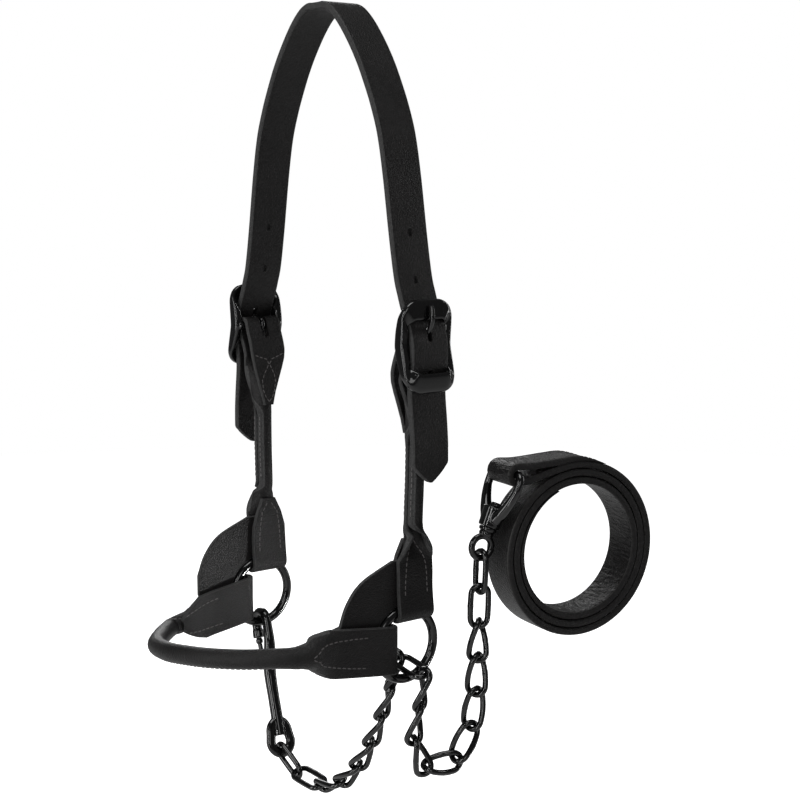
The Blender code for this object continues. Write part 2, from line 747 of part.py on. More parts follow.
LINK_MESHES = {
    (pitch, twist): link_mesh(f"link_{pitch:.1f}_{twist:.1f}", pitch, twist)
    for pitch in (CHIN_PITCH, LEAD_PITCH) for twist in (0, math.pi / 2)
}
SADDLE = saddle()
LEAD = lead_run(SADDLE)
for each_link in [*chin_run(SADDLE), SADDLE, *LEAD]:
    each_link.add()


def on_lead(u, z, depth=0.0):
    """A point of the lead's plane, counted along it and up from the chain's last crown."""
    return LEAD[-1].end + LEAD_AHEAD * u + Z * z + LEAD_ACROSS * depth


# Snap: a cast hook with a flat eye across it, and a sprung wire gate.

RING_LOW = Vector((RING_X, RING_SIDE, -RING_RADIUS))


def snap_frame():
    """The snap's own axes: across it along the ring's wire, to the far side, and up its length."""
    up = (RING_LOW - Vector(SNAP_EYE)).normalized()
    between = up.cross(X).normalized()
    return between.cross(up).normalized(), between, up


def on_snap(side, along, across=0.0):
    """World point of the snap: 'side' to the far side, 'along' up from the ring's wire."""
    lateral, between, up = snap_frame()
    return place(*(RING_LOW + between * side + up * along + lateral * across))


def snap():
    reach = (RING_LOW - Vector(SNAP_EYE)).length
    level = RING_WIRE / 2 + GAP + SNAP_WIRE / 2 - SNAP_HOOK
    line = [(SNAP_HOOK, -6.5), (SNAP_HOOK, -3.5)] + arc((0, level), SNAP_HOOK, 0, 180, 8)
    radii = [1.0] * len(line)
    line += [(-SNAP_HOOK, -7), (-SNAP_HOOK + 0.4, -13), (-4.4, -19.5), (-2.1, -26), (-0.6, -32),
             (0, -39), (0, -50), (0, 10 - reach)]
    radii += [1.05, 1.1, 1.2, 1.25, 1.22, 1.15, 1.1, 1.1]
    mesh = wire_mesh("snap", [on_snap(a, b) for a, b in line], SNAP_WIRE, radii=radii)
    made = finish("snap_body", mesh, ENAMEL, place(*RING_LOW))
    low, high = SNAP_EYE_RADIUS - reach, SNAP_EYE_RADIUS - reach + 5.5
    loop = arc((0, high), SNAP_EYE_RADIUS, 0, 180, 8) + arc((0, low), SNAP_EYE_RADIUS, 180, 360, 8)
    eye = wire_mesh("eye", [on_snap(0, b, a) for a, b in loop], SNAP_EYE_WIRE, closed=True)
    boolean(made, cutter("snap_eye", eye), "UNION")
    collar = rod_mesh("collar", on_snap(SNAP_HOOK, -5), on_snap(SNAP_HOOK, -10), 7.4)
    boolean(made, cutter("snap_collar", collar), "UNION")
    socket = box_mesh("socket", on_snap(4.6, -30), (GATE_WIRE + 1, 8.4, 12), snap_turn())
    boolean(made, cutter("gate_socket", socket), "DIFFERENCE")
    rod = [on_snap(2.6, -32), on_snap(4.2, -26), on_snap(5.8, -18.5), on_snap(SNAP_HOOK - 0.05, -10.9)]
    gate = wire_mesh("gate", smooth_path(rod, 3.5 * MM), GATE_WIRE)
    finish("snap_gate", gate, ENAMEL, on_snap(2.6, -32))


def snap_turn():
    return Matrix(snap_frame()).transposed().to_4x4()


# Swivel and dee: the chain's last link hangs in a round eye that turns in the dee's boss.

def axis_point(distance, depth=0.0, aside=0.0):
    """World point on the swivel's axis, counted from the eye's centre towards the dee's bar."""
    run = Vector((DEE_BAR[0] - EYE[0], DEE_BAR[1] - EYE[1]))
    run.normalize()
    u = EYE[0] + run.x * distance - run.y * aside
    z = EYE[1] + run.y * distance + run.x * aside
    return place(*on_lead(u, z, depth))


def bar_distance():
    return math.hypot(DEE_BAR[0] - EYE[0], DEE_BAR[1] - EYE[1])


def swivel():
    loop = arc((0, 0), EYE_RADIUS, 0, 345, 23)
    points = [axis_point(b, 0, a) for a, b in loop]
    made = finish("swivel_eye", wire_mesh("eye", points, EYE_WIRE, closed=True), ENAMEL, axis_point(0))
    parts = (("shank", 6.5, 26.5, 4.6), ("collar", 8.6, 11.9, 10.0), ("head", 24.4, 27.0, 7.0))
    for word, start, end, wire in parts:
        rod = rod_mesh(word, axis_point(start), axis_point(end), wire)
        boolean(made, cutter(f"swivel_{word}", rod), "UNION")


def dee():
    top = bar_distance()
    corner = 4.5
    line = [(-6.5, 19.5), (-8.8, 22), (-13, 29), (-DEE_HALF + 0.3, 35.5), (-DEE_HALF, 38)]
    line += [(a, b) for a, b in arc((-DEE_HALF + corner, top - corner), corner, 180, 90, 4)]
    line += [(-a, b) for a, b in reversed(line)]
    points = [axis_point(b, a) for a, b in line]
    made = finish("swivel_dee", wire_mesh("dee", points, DEE_WIRE), ENAMEL, axis_point(top))
    boss = rod_mesh("boss", axis_point(12.2), axis_point(24.1), 13.0, 12.0)
    boolean(made, cutter("dee_boss", boss), "UNION")
    bore = rod_mesh("bore", axis_point(8), axis_point(30), 5.4)
    boolean(made, cutter("dee_bore", bore), "DIFFERENCE")


# Lead strap: one long strap, folded round the dee's bar and wound in a flat coil.

def coil_point(turn, outward=0.0):
    """Middle line of the coil in the lead's plane, that many turns in from its outer end."""
    angle = COIL_START - 2 * math.pi * turn
    sunk = STRAP_THICKNESS / 2 + COIL_PITCH * turn - outward
    u = COIL_CENTRE[0] + (COIL_RADII[0] - sunk) * math.cos(angle)
    z = COIL_CENTRE[1] + (COIL_RADII[1] - sunk) * math.sin(angle)
    return Vector((u, z, 0))


def lead_line():
    """Points and thicknesses from the thinned end of the outer ply, round the bar, to the core."""
    bar = Vector((*DEE_BAR, 0))
    wrap = DEE_WIRE / 2 + GAP + STRAP_THICKNESS / 2
    over = STRAP_THICKNESS + 0.55
    thin = [(coil_point(0.075, over - 1.1), 1.6), (coil_point(0.05, over - 0.5), 2.8),
            (coil_point(0.02, over), STRAP_THICKNESS), (coil_point(-0.012, over + 0.3), STRAP_THICKNESS)]
    plies = [(Vector((bar.x + 10.5, bar.y + wrap - 0.2, 0)), STRAP_THICKNESS)]
    for u, z in arc((bar.x, bar.y), wrap, 90, 270, 8):
        plies.append((Vector((u, z, 0)), STRAP_THICKNESS))
    plies.append((Vector((bar.x + 8, bar.y - wrap + 1.0, 0)), STRAP_THICKNESS))
    plies.append((Vector((bar.x + 15, bar.y - wrap + 2.8, 0)), STRAP_THICKNESS))
    steps = round(COIL_TURNS * COIL_STEPS)
    wound = [(coil_point(COIL_TURNS * i / steps), STRAP_THICKNESS) for i in range(1, steps + 1)]
    return thin + plies + wound


def lead_strap():
    line = lead_line()
    places = [point for point, _ in line]
    half = STRAP_WIDTH / 2
    edge = 0.8
    sections = []
    for i, (point, thickness) in enumerate(line):
        along = (places[min(i + 1, len(line) - 1)] - places[max(i - 1, 0)]).normalized()
        out = Vector((-along.y, along.x, 0))
        rise = thickness / 2
        soft = min(edge, rise * 0.6)
        outline = (
            (half, rise - soft), (half - edge, rise), (edge - half, rise), (-half, rise - soft),
            (-half, soft - rise), (edge - half, -rise), (half - edge, -rise), (half, soft - rise),
        )
        section = []
        for depth, b in outline:
            spot = point + out * b
            section.append(place(*on_lead(spot.x, spot.y, depth)))
        sections.append(section)
    made = finish("lead_strap", loft("lead_strap", sections), BLACK_LEATHER, axis_point(bar_distance()))
    least = min(
        (coil_point(turn / 200) - coil_point(turn / 200 + 1 + shift / 400)).length
        for turn in range(0, round(200 * (COIL_TURNS - 1)) + 1) for shift in range(-8, 1)
    )
    print(f"least gap between the coil's turns: {least - STRAP_THICKNESS:.2f} mm")
    return made


for side_sign, side_word in ((-1, "near"), (1, "far")):
    ring(f"{side_word}_ring", side_sign)
    buckle(side_word, side_sign)
    tongue(side_word, side_sign)
    cheek(side_word, side_sign)
    gusset(side_word, side_sign)
crown()
noseband()
snap()
swivel()
dee()
lead_strap()
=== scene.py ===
import math
from collections import namedtuple

import bmesh
import bpy
import numpy as np
from mathutils import Matrix, Vector
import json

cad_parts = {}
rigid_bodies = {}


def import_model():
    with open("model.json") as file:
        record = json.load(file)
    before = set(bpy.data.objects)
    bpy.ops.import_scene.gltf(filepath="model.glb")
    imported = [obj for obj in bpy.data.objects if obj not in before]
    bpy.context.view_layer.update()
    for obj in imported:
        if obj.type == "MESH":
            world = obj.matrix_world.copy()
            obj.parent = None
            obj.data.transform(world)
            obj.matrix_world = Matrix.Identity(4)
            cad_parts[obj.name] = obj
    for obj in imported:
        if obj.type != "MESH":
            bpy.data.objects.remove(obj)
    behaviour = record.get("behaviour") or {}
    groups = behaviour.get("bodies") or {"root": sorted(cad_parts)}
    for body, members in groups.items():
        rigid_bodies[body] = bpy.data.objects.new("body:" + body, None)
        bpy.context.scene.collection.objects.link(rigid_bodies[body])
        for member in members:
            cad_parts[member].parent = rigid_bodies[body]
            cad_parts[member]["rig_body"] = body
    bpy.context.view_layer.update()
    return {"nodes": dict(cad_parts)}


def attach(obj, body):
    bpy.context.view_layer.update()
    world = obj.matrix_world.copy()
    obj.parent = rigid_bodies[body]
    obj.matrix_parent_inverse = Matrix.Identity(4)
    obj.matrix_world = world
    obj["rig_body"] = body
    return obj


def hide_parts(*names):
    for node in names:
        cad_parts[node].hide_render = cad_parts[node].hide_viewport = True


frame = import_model()
bpy.ops.object.select_all(action="DESELECT")
scene = bpy.context.scene


# The view: a long portrait lens a metre off the near side, well above the rings, looking back
# and slightly down. Large soft boxes stand left, in front, above and behind. Two narrow ones
# give the enamel its long thin highlights, and a snoot lights the far side's leather.

HALTER_MIDDLE = (0.02, 0, -0.26)
FLOOR_LEVEL = -0.76


def stand(name, held, place, target):
    """Stands a lens or a lamp at its place, turned to the target."""
    made = bpy.data.objects.new(name, held)
    made.location = place
    made.rotation_euler = (Vector(target) - made.location).to_track_quat("-Z", "Y").to_euler()
    scene.collection.objects.link(made)
    return made


def soft_box(name, place, width, height, power):
    lamp = bpy.data.lights.new(name, "AREA")
    lamp.shape = "RECTANGLE"
    lamp.size = width
    lamp.size_y = height
    lamp.energy = power
    stand(name, lamp, place, HALTER_MIDDLE)


lens = bpy.data.cameras.new("portrait_lens")
lens.lens = 71.4
lens.sensor_width = 36
scene.camera = stand("camera", lens, (-0.5498, -0.7676, -0.0982), (0.0501, 0.0, -0.2325))
scene.view_settings.view_transform = "Standard"

soft_box("left_box", (-1.6, 0.35, 0.1), 0.35, 1.5, 12)
soft_box("front_box", (-0.9, -1.7, 0.5), 0.7, 1.0, 7)
soft_box("top_box", (-0.2, -0.1, 1.3), 1.1, 0.8, 15)
soft_box("strip_box", (-1.45, -0.65, 0.0), 0.07, 1.5, 9)
soft_box("right_strip_box", (1.75, -0.55, 0.1), 0.07, 1.5, 6)
soft_box("back_box", (0.9, 1.6, 0.3), 0.6, 1.3, 9)

snoot = bpy.data.lights.new("far_side_snoot", "SPOT")
snoot.energy = 25
snoot.spot_size = math.radians(7.0)
snoot.spot_blend = 0.6
snoot.shadow_soft_size = 0.05
stand("far_side_snoot", snoot, (0.549, -0.521, -0.659), (-0.045, 0.073, -0.335))


def add_node(tree, kind, inputs=(), **settings):
    """Adds a node, sets its properties, and fills its sockets with values or links."""
    node = tree.nodes.new(kind)
    for key, value in settings.items():
        setattr(node, key, value)
    for socket, value in dict(inputs).items():
        if isinstance(value, bpy.types.NodeSocket):
            tree.links.new(value, node.inputs[socket])
        else:
            node.inputs[socket].default_value = value
    return node


def linear(code):
    """An sRGB hex colour as linear RGBA."""
    parts = [int(code[i:i + 2], 16) / 255 for i in (1, 3, 5)]
    return (*[c / 12.92 if c <= 0.04045 else ((c + 0.055) / 1.055) ** 2.4 for c in parts], 1)


world = bpy.data.worlds.new("white_room")
scene.world = world
world.use_nodes = True
room = world.node_tree
room.nodes.clear()
ray = add_node(room, "ShaderNodeLightPath")
seen = add_node(room, "ShaderNodeBackground", {"Color": (1, 1, 1, 1), "Strength": 1.0})
fill = add_node(room, "ShaderNodeBackground", {"Color": (1, 1, 1, 1), "Strength": 0.13})
both = add_node(room, "ShaderNodeMixShader", {
    0: ray.outputs["Is Camera Ray"], 1: fill.outputs[0], 2: seen.outputs[0]})
add_node(room, "ShaderNodeOutputWorld", {"Surface": both.outputs[0]})

bpy.ops.mesh.primitive_circle_add(
    vertices=96, radius=3, fill_type="NGON", location=(0, 0, FLOOR_LEVEL))
floor = bpy.context.object
floor.name = "floor"
paper = bpy.data.materials.new("white_paper_floor")
paper.use_nodes = True
paper.node_tree.nodes.clear()
ray = add_node(paper.node_tree, "ShaderNodeLightPath")
matt = add_node(paper.node_tree, "ShaderNodeBsdfDiffuse", {"Color": linear("#f2f2f2")})
lift = add_node(paper.node_tree, "ShaderNodeEmission", {"Color": (1, 1, 1, 1), "Strength": 0.97})
none = add_node(paper.node_tree, "ShaderNodeEmission", {"Color": (0, 0, 0, 1), "Strength": 0.0})
shown = add_node(paper.node_tree, "ShaderNodeMixShader", {
    0: ray.outputs["Is Camera Ray"], 1: none.outputs[0], 2: lift.outputs[0]})
total = add_node(paper.node_tree, "ShaderNodeAddShader", {0: matt.outputs[0], 1: shown.outputs[0]})
add_node(paper.node_tree, "ShaderNodeOutputMaterial", {"Surface": total.outputs[0]})
floor.data.materials.append(paper)


# Crown strap: one 25 mm strap of black bridle leather, 4 mm thick, that lies over the poll and
# runs down through both buckles to a pointed tail. It is cut from a butt, dyed through, its grain
# side waxed, its edges rounded with an edger and slicked, which leaves them greyer and rougher.

CROWN_X = 6.0
CROWN_UNDERSIDE = 360.5
CROWN_FLAT = 8.0
CROWN_THICKNESS = 4.0
CROWN_HALF_LINE = (
    (CROWN_FLAT, 362.5), (15, 359.6), (23.5, 352.5), (33, 341.5), (41.5, 329.5),
    (48.6, 317), (55, 304), (61, 288), (66, 265), (71.5, 232), (75.8, 210), (79.2, 200),
    (82, 193), (86.5, 183.5), (89.3, 176), (90.2, 169), (89.6, 160), (88.2, 151), (88.2, 143),
    (89.6, 130), (90.6, 118), (90.8, 107),
)
TAIL_OUT = 90.8
TAIL_WIDTHS = ((105.5, 24.0), (102.5, 18.6), (99.5, 12.2), (97.2, 6.4), (95.8, 1.8))
STRAP_WIDTH = 25.0
EDGER_RADIUS = 0.9
EDGE_STEPS = 4
FLAT_CURL = 0.02
FULL_CURL = math.radians(350)
CLOSED_CURL = 0.97 * FULL_CURL
SEAM_BARE = 3.8
CROWN_HOLES = ((234.4, 71.1), (208.3, 76.4), (156.1, 89.0))
HOLE_SIZE = (2.6, 5.0)
TONGUE_SLOT = (178.8, 88.5)
SLOT_SIZE = (3.1, 8.6)


def spot(x, y, z):
    """A place counted in millimetres from midway between the two rings, in metres."""
    return Vector((x - CROWN_X, y, z - CROWN_UNDERSIDE)) / 1000


def cut_profile(width, thickness, steps, edge):
    """(across, out, cut) round a strip's section: flat faces, and edges rounded by the edger."""
    edge = min(edge, thickness * 0.44, width * 0.3)
    half, rise = width / 2 - edge, thickness / 2 - edge
    points = []
    for side_a, side_b, start in ((1, 1, 0), (-1, 1, 90), (-1, -1, 180), (1, -1, 270)):
        for i in range(EDGE_STEPS + 1):
            turn = math.radians(start + 90 * i / EDGE_STEPS)
            slant = abs(math.cos(turn))
            points.append((side_a * half + edge * math.cos(turn),
                           side_b * rise + edge * math.sin(turn), slant ** 0.6))
        if start in (0, 180):
            for k in range(1, steps):
                points.append((side_a * half * (1 - 2 * k / steps), side_b * thickness / 2, 0.0))
    return points


def smoothed(stations, step):
    """Stations a step in millimetres apart, on a curve through the given ones: each is a centre,
    and then sizes, which change evenly from one to the next."""
    ends = [stations[0], *stations, stations[-1]]
    rows = []
    for i in range(1, len(ends) - 2):
        a, b, c, d = (ends[k][0] for k in range(i - 1, i + 3))
        if i == 1:
            a = b * 2 - c
        if i == len(ends) - 3:
            d = c * 2 - b
        count = max(1, round((c - b).length * 1000 / step))
        for k in range(count):
            t = k / count
            centre = 0.5 * (2 * b + (c - a) * t + (2 * a - 5 * b + 4 * c - d) * t * t
                            + (3 * b - a - 3 * c + d) * t ** 3)
            rest = [p + (q - p) * t for p, q in zip(ends[i][1:], ends[i + 1][1:])]
            rows.append((centre, *rest))
    rows.append(stations[-1])
    return rows


def curl_depth(row):
    """How far in from a section's middle the centre of its curl lies, in millimetres."""
    return row.width / row.curl * math.sin(row.curl / 2) / (row.curl / 2)


def tube_faces(count, rings, closed=False):
    """Faces between rings of count points each, and over both ends unless it closes on itself."""
    faces = []
    for ring in range(rings if closed else rings - 1):
        first, after = count * ring, count * ((ring + 1) % rings)
        for i in range(count):
            j = (i + 1) % count
            faces.append((first + i, first + j, after + j, after + i))
    if not closed:
        faces.append(tuple(reversed(range(count))))
        faces.append(tuple(range(count * (rings - 1), count * rings)))
    return faces


Section = namedtuple("Section", "run centre level out width curl thick")


class Strip:
    """A leather strip on its way: flat or curled sections square to a line, which stations of
    (centre, width, curl, thickness) give. A rolled one has its seam turned by that angle."""

    def __init__(self, stations, across, side, step=1.6, seam=0.0):
        self.rows = []
        self.seam = seam
        rows = smoothed(stations, step)
        run = 0.0
        for i, (centre, width, curl, thick) in enumerate(rows):
            along = rows[min(i + 1, len(rows) - 1)][0] - rows[max(i - 1, 0)][0]
            along.normalize()
            level = (across - along * across.dot(along)).normalized()
            out = side * level.cross(along).normalized()
            if i:
                run += (centre - rows[i - 1][0]).length * 1000
            curl = max(curl, FLAT_CURL)
            self.rows.append(Section(run, centre, level, out, width, curl, thick))

    def point(self, row, a, b):
        """The point a mm across and b mm out from the row's middle line, and what way is out. The
        seam turns only over the last quarter of the closing, so that no lip stands out."""
        radius = row.width / row.curl
        turn = a / radius
        late = max(4 * row.curl / FULL_CURL - 3, 0)
        rolled = self.seam * late * late * (3 - 2 * late)
        aside = (radius + b) * math.sin(turn)
        rise = (radius + b) * math.cos(turn) - curl_depth(row)
        lean = rolled + turn
        offset = (row.level * (aside * math.cos(rolled) + rise * math.sin(rolled))
                  + row.out * (rise * math.cos(rolled) - aside * math.sin(rolled)))
        return row.centre + offset / 1000, row.level * math.sin(lean) + row.out * math.cos(lean)

    def on_face(self, run, a, face, lift=0.0):
        """A point of the strip's face at that distance along it, and the face's own way out."""
        for row, after in zip(self.rows, self.rows[1:]):
            if row.run <= run <= after.run:
                share = (run - row.run) / (after.run - row.run)
                first, facing = self.point(row, a, face * (row.thick / 2 + lift))
                second, onward = self.point(after, a, face * (after.thick / 2 + lift))
                return first.lerp(second, share), (facing.lerp(onward, share) * face).normalized()
        raise ValueError(f"nothing at {run}")

    def run_at(self, axis, value, which):
        """How far along the strip's line it passes that value on an axis, for the nth time."""
        for row, after in zip(self.rows, self.rows[1:]):
            if (row.centre[axis] - value) * (after.centre[axis] - value) <= 0:
                if which == 0:
                    return row.run
                which -= 1
        raise ValueError(f"never at {value}")

    def build(self, name, look, steps=14, edge=EDGER_RADIUS):
        """The strip's skin. Where it is rolled, the leather trimmed for the seam shows bare. Each
        point keeps its place on the flat strip, which the creases follow."""
        points, cuts, lays = [], [], []
        for row in self.rows:
            for a, b, cut in cut_profile(row.width, row.thick, steps, edge):
                points.append(self.point(row, a, b)[0])
                trimmed = min(max((abs(a) - row.width / 2 + SEAM_BARE) / 1.2, 0), 1)
                cuts.append(max(cut, trimmed * row.curl / FULL_CURL))
                lays += [row.run, a, b]
        faces = tube_faces(len(points) // len(self.rows), len(self.rows))
        return skin(name, points, faces, look, cuts, lays)


def skin(name, points, faces, look, cuts=None, lays=None):
    """An object of those points and faces, turned outwards and shaded smooth."""
    mesh = bpy.data.meshes.new(name)
    mesh.from_pydata(points, [], faces)
    if cuts:
        mesh.attributes.new("cut", "FLOAT", "POINT").data.foreach_set("value", cuts)
    if lays:
        mesh.attributes.new("lay", "FLOAT_VECTOR", "POINT").data.foreach_set("vector", lays)
    work = bmesh.new()
    work.from_mesh(mesh)
    bmesh.ops.recalc_face_normals(work, faces=work.faces)
    work.to_mesh(mesh)
    work.free()
    mesh.shade_smooth()
    mesh.set_sharp_from_angle(angle=math.radians(50))
    mesh.materials.append(look)
    made = bpy.data.objects.new(name, mesh)
    scene.collection.objects.link(made)
    return made


def new_look(name):
    """A new material, its tree, its shader, and the piece's own coordinates in millimetres."""
    look = bpy.data.materials.new(name)
    look.use_nodes = True
    tree = look.node_tree
    where = add_node(tree, "ShaderNodeTexCoord")
    scaled = add_node(tree, "ShaderNodeMapping", {
        "Vector": where.outputs["Object"], "Scale": (1000, 1000, 1000)})
    return look, tree, tree.nodes["Principled BSDF"], scaled.outputs[0]


def bridle_leather(name, face, worn, edge, rim, shine, creases):
    """Waxed black bridle leather. The grain's pores are about 0.9 mm cells, drawn a little coarser
    than the real ones so that they show. Mottling comes every 20 mm or so from the dyeing. Where
    the edger cut, the fibres show greyer and rougher, and a painted highlight lies speckled along
    its rounded corners. The flesh side of a strap that is wound creases across."""
    look, tree, shader, place = new_look(name)
    grain = add_node(tree, "ShaderNodeTexVoronoi", {
        "Vector": place, "Scale": 1 / 0.9, "Randomness": 1.0})
    fibres = add_node(tree, "ShaderNodeTexNoise", {
        "Vector": place, "Scale": 1 / 1.6, "Detail": 8.0, "Roughness": 0.65})
    dye = add_node(tree, "ShaderNodeTexNoise", {
        "Vector": place, "Scale": 1 / 20, "Detail": 3.0, "Roughness": 0.5})
    cut = add_node(tree, "ShaderNodeAttribute", attribute_name="cut")
    rubbed = add_node(tree, "ShaderNodeMath", {0: cut.outputs["Fac"], 1: fibres.outputs[0]},
                      operation="MULTIPLY")
    edged = add_node(tree, "ShaderNodeMapRange", {
        "Value": rubbed.outputs[0], "From Min": 0.18, "From Max": 0.55})
    mottled = add_node(tree, "ShaderNodeMapRange", {
        "Value": dye.outputs[0], "From Min": 0.35, "From Max": 0.68})
    body = add_node(tree, "ShaderNodeMix", {
        0: mottled.outputs[0], 6: linear(face), 7: linear(worn)}, data_type="RGBA")
    sides = add_node(tree, "ShaderNodeMix", {
        0: edged.outputs[0], 6: body.outputs[2], 7: linear(edge)}, data_type="RGBA")
    # A painted highlight in the rim colour on the rounded corners of the cut edges, broken into
    # specks by the fibres.
    corner = add_node(tree, "ShaderNodeMath", {0: cut.outputs["Fac"], 1: 0.45, 2: 0.22},
                      operation="COMPARE")
    corner_highlight_paint = add_node(tree, "ShaderNodeMath", {0: corner.outputs[0], 1: fibres.outputs[0]},
                             operation="MULTIPLY")
    colour = add_node(tree, "ShaderNodeMix", {
        0: corner_highlight_paint.outputs[0], 6: sides.outputs[2], 7: linear(rim)}, data_type="RGBA")
    tree.links.new(colour.outputs[2], shader.inputs["Base Color"])
    dull = add_node(tree, "ShaderNodeMapRange", {
        "Value": fibres.outputs[0], "From Min": 0.3, "From Max": 0.7,
        "To Min": shine - 0.06, "To Max": shine + 0.08})
    rough = add_node(tree, "ShaderNodeMix", {0: edged.outputs[0], 2: dull.outputs[0], 3: 0.85})
    tree.links.new(rough.outputs[0], shader.inputs["Roughness"])
    pores = add_node(tree, "ShaderNodeMath", {0: grain.outputs["Distance"], 1: 0.6},
                     operation="MULTIPLY")
    height = add_node(tree, "ShaderNodeMath", {0: pores.outputs[0], 1: fibres.outputs[0]},
                      operation="ADD")
    bump = add_node(tree, "ShaderNodeBump", {
        "Height": height.outputs[0], "Strength": 0.7, "Distance": 0.0006})
    if creases:
        lay = add_node(tree, "ShaderNodeAttribute", attribute_name="lay")
        drawn = add_node(tree, "ShaderNodeMapping", {
            "Vector": lay.outputs["Vector"], "Scale": (1 / 2.6, 1 / 11, 1 / 5)})
        folds = add_node(tree, "ShaderNodeTexNoise", {
            "Vector": drawn.outputs[0], "Scale": 1.0, "Detail": 3.0, "Distortion": 0.7})
        parts = add_node(tree, "ShaderNodeSeparateXYZ", {0: lay.outputs["Vector"]})
        flesh = add_node(tree, "ShaderNodeMath", {0: parts.outputs[2], 1: -1.0},
                         operation="LESS_THAN")
        crests = add_node(tree, "ShaderNodeMapRange", {
            "Value": folds.outputs[0], "From Min": 0.44, "From Max": 0.6})
        wrinkled = add_node(tree, "ShaderNodeMath", {0: crests.outputs[0], 1: flesh.outputs[0]},
                            operation="MULTIPLY")
        bump = add_node(tree, "ShaderNodeBump", {
            "Height": wrinkled.outputs[0], "Strength": creases, "Distance": 0.0007,
            "Normal": bump.outputs[0]})
    tree.links.new(bump.outputs[0], shader.inputs["Normal"])
    shader.inputs["Specular IOR Level"].default_value = 0.22
    return look


# The rim colour is a painted highlight on the rounded corners of the cut edges.
BRIDLE_LEATHER = bridle_leather(
    "black_bridle_leather", face="#0b0a0a", worn="#131212", edge="#343434", rim="#454545",
    shine=0.46, creases=0)

half_line = [(y, z, STRAP_WIDTH) for y, z in CROWN_HALF_LINE]
half_line += [(TAIL_OUT, z, width) for z, width in TAIL_WIDTHS]
crown_line = [(-y, z, width) for y, z, width in reversed(half_line)]
crown_line += [(y, CROWN_HALF_LINE[0][1], STRAP_WIDTH) for y in (-3, 3)] + half_line
stations = [(spot(CROWN_X, y, z), width, 0.0, CROWN_THICKNESS) for y, z, width in crown_line]
crown = Strip(stations, Vector((1, 0, 0)), 1).build("crown_strap_leather", BRIDLE_LEATHER)


def modify(piece, name, kind, **settings):
    """Adds a modifier to the piece with those settings, and applies it."""
    change = piece.modifiers.new(name, kind)
    for key, value in settings.items():
        setattr(change, key, value)
    bpy.context.view_layer.objects.active = piece
    bpy.ops.object.modifier_apply(modifier=change.name)


def cut_away(piece, tool):
    """Takes the tool's shape out of the piece."""
    modify(piece, "cut", "BOOLEAN", object=tool, solver="EXACT")
    bpy.data.objects.remove(tool)


def punch(piece, place, width, height, depth):
    """Cuts an oblong hole, with round ends, through the strap from side to side."""
    bpy.ops.object.select_all(action="DESELECT")
    bpy.ops.mesh.primitive_cylinder_add(vertices=24, radius=width / 2000, depth=depth / 1000)
    tool = bpy.context.object
    for vert in tool.data.vertices:
        vert.co.y += math.copysign(max(height - width, 0) / 2000, vert.co.y)
    tool.data.transform(Matrix.Translation(place) @ Matrix.Rotation(math.pi / 2, 4, "X"))
    cut_away(piece, tool)


for side in (-1, 1):
    for level, reach in CROWN_HOLES:
        punch(crown, spot(CROWN_X, side * reach, level), *HOLE_SIZE, 14)
    level, reach = TONGUE_SLOT
    punch(crown, spot(CROWN_X, side * reach, level), *SLOT_SIZE, 12)
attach(crown, "headstall")
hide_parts("crown_strap")


# Cheeks: on each side one strip of 2.8 mm leather, folded round the buckle's bar above and the
# ring below, sewn to itself there through every ply, and between the folds rolled round a cord
# and sewn edge to edge along its front.

SIDES = (("near", -1), ("far", 1))
BAR_SIDE = 81.5
BAR_LEVEL = 172.0
BAR_WIRE = 4.5
PLY_THICKNESS = 2.8
CHEEK_WIDTH = 25.0
CHEEK_CORD_RADIUS = 2.4
CHEEK_SEAM = 91
SEAM_INSET = 1.7
BAR_SLOT_SIZE = (5.0, 16)
GUSSET_THICKNESS = 2.6
GAP = 0.3
RING_X = 1.0
RING_SIDE = 75.5
RING_RADIUS = 20.25
RING_WIRE = 5.5
APART = GUSSET_THICKNESS / 2 + GAP + PLY_THICKNESS / 2
ROUND_RING = RING_WIRE / 2 + GAP + PLY_THICKNESS / 2
BAR_ROW = ((10.6, 154.5), (7, 153.6), (2.5, 151), (-1, 147), (-3.8, 142), (-4.9, 137),
           (-4.3, 132), (-2.6, 128), (-0.5, 125))
RING_ROW = ((1.2, 59.5), (3.0, 57), (5.6, 52), (6.8, 46), (7.6, 38), (8, 28))
SEAM_ROW = [(CHEEK_WIDTH / 2 - SEAM_INSET, z) for z in (112, 98, 84, 72)]
STITCH_SHAPE = ((-1, 0.35), (-0.62, 0.95), (0.62, 0.95), (1, 0.35))
STITCH_SIDES = 6
CORD_SIDES = 18
STRAND_LAY = 2.2


def arc(centre, radius, start, end, steps):
    """Points on a circle in a plane, angles in degrees."""
    turns = [math.radians(start + (end - start) * i / steps) for i in range(steps + 1)]
    return [(centre[0] + radius * math.cos(t), centre[1] + radius * math.sin(t)) for t in turns]


def waxed_thread():
    """Waxed linen thread, four cords laid together: dark grey, with a fine slanting rib."""
    look, tree, shader, place = new_look("waxed_linen_thread")
    rib = add_node(tree, "ShaderNodeTexWave", {
        "Vector": place, "Scale": 0.8, "Distortion": 1.5}, bands_direction="DIAGONAL")
    fuzz = add_node(tree, "ShaderNodeTexNoise", {"Vector": place, "Scale": 1.2})
    colour = add_node(tree, "ShaderNodeMix", {
        0: fuzz.outputs[0], 6: linear("#2c2a2a"), 7: linear("#5a5757")}, data_type="RGBA")
    tree.links.new(colour.outputs[2], shader.inputs["Base Color"])
    bump = add_node(tree, "ShaderNodeBump", {
        "Height": rib.outputs["Fac"], "Strength": 0.5, "Distance": 0.0002})
    tree.links.new(bump.outputs[0], shader.inputs["Normal"])
    shader.inputs["Roughness"].default_value = 0.6
    return look


THREAD = waxed_thread()


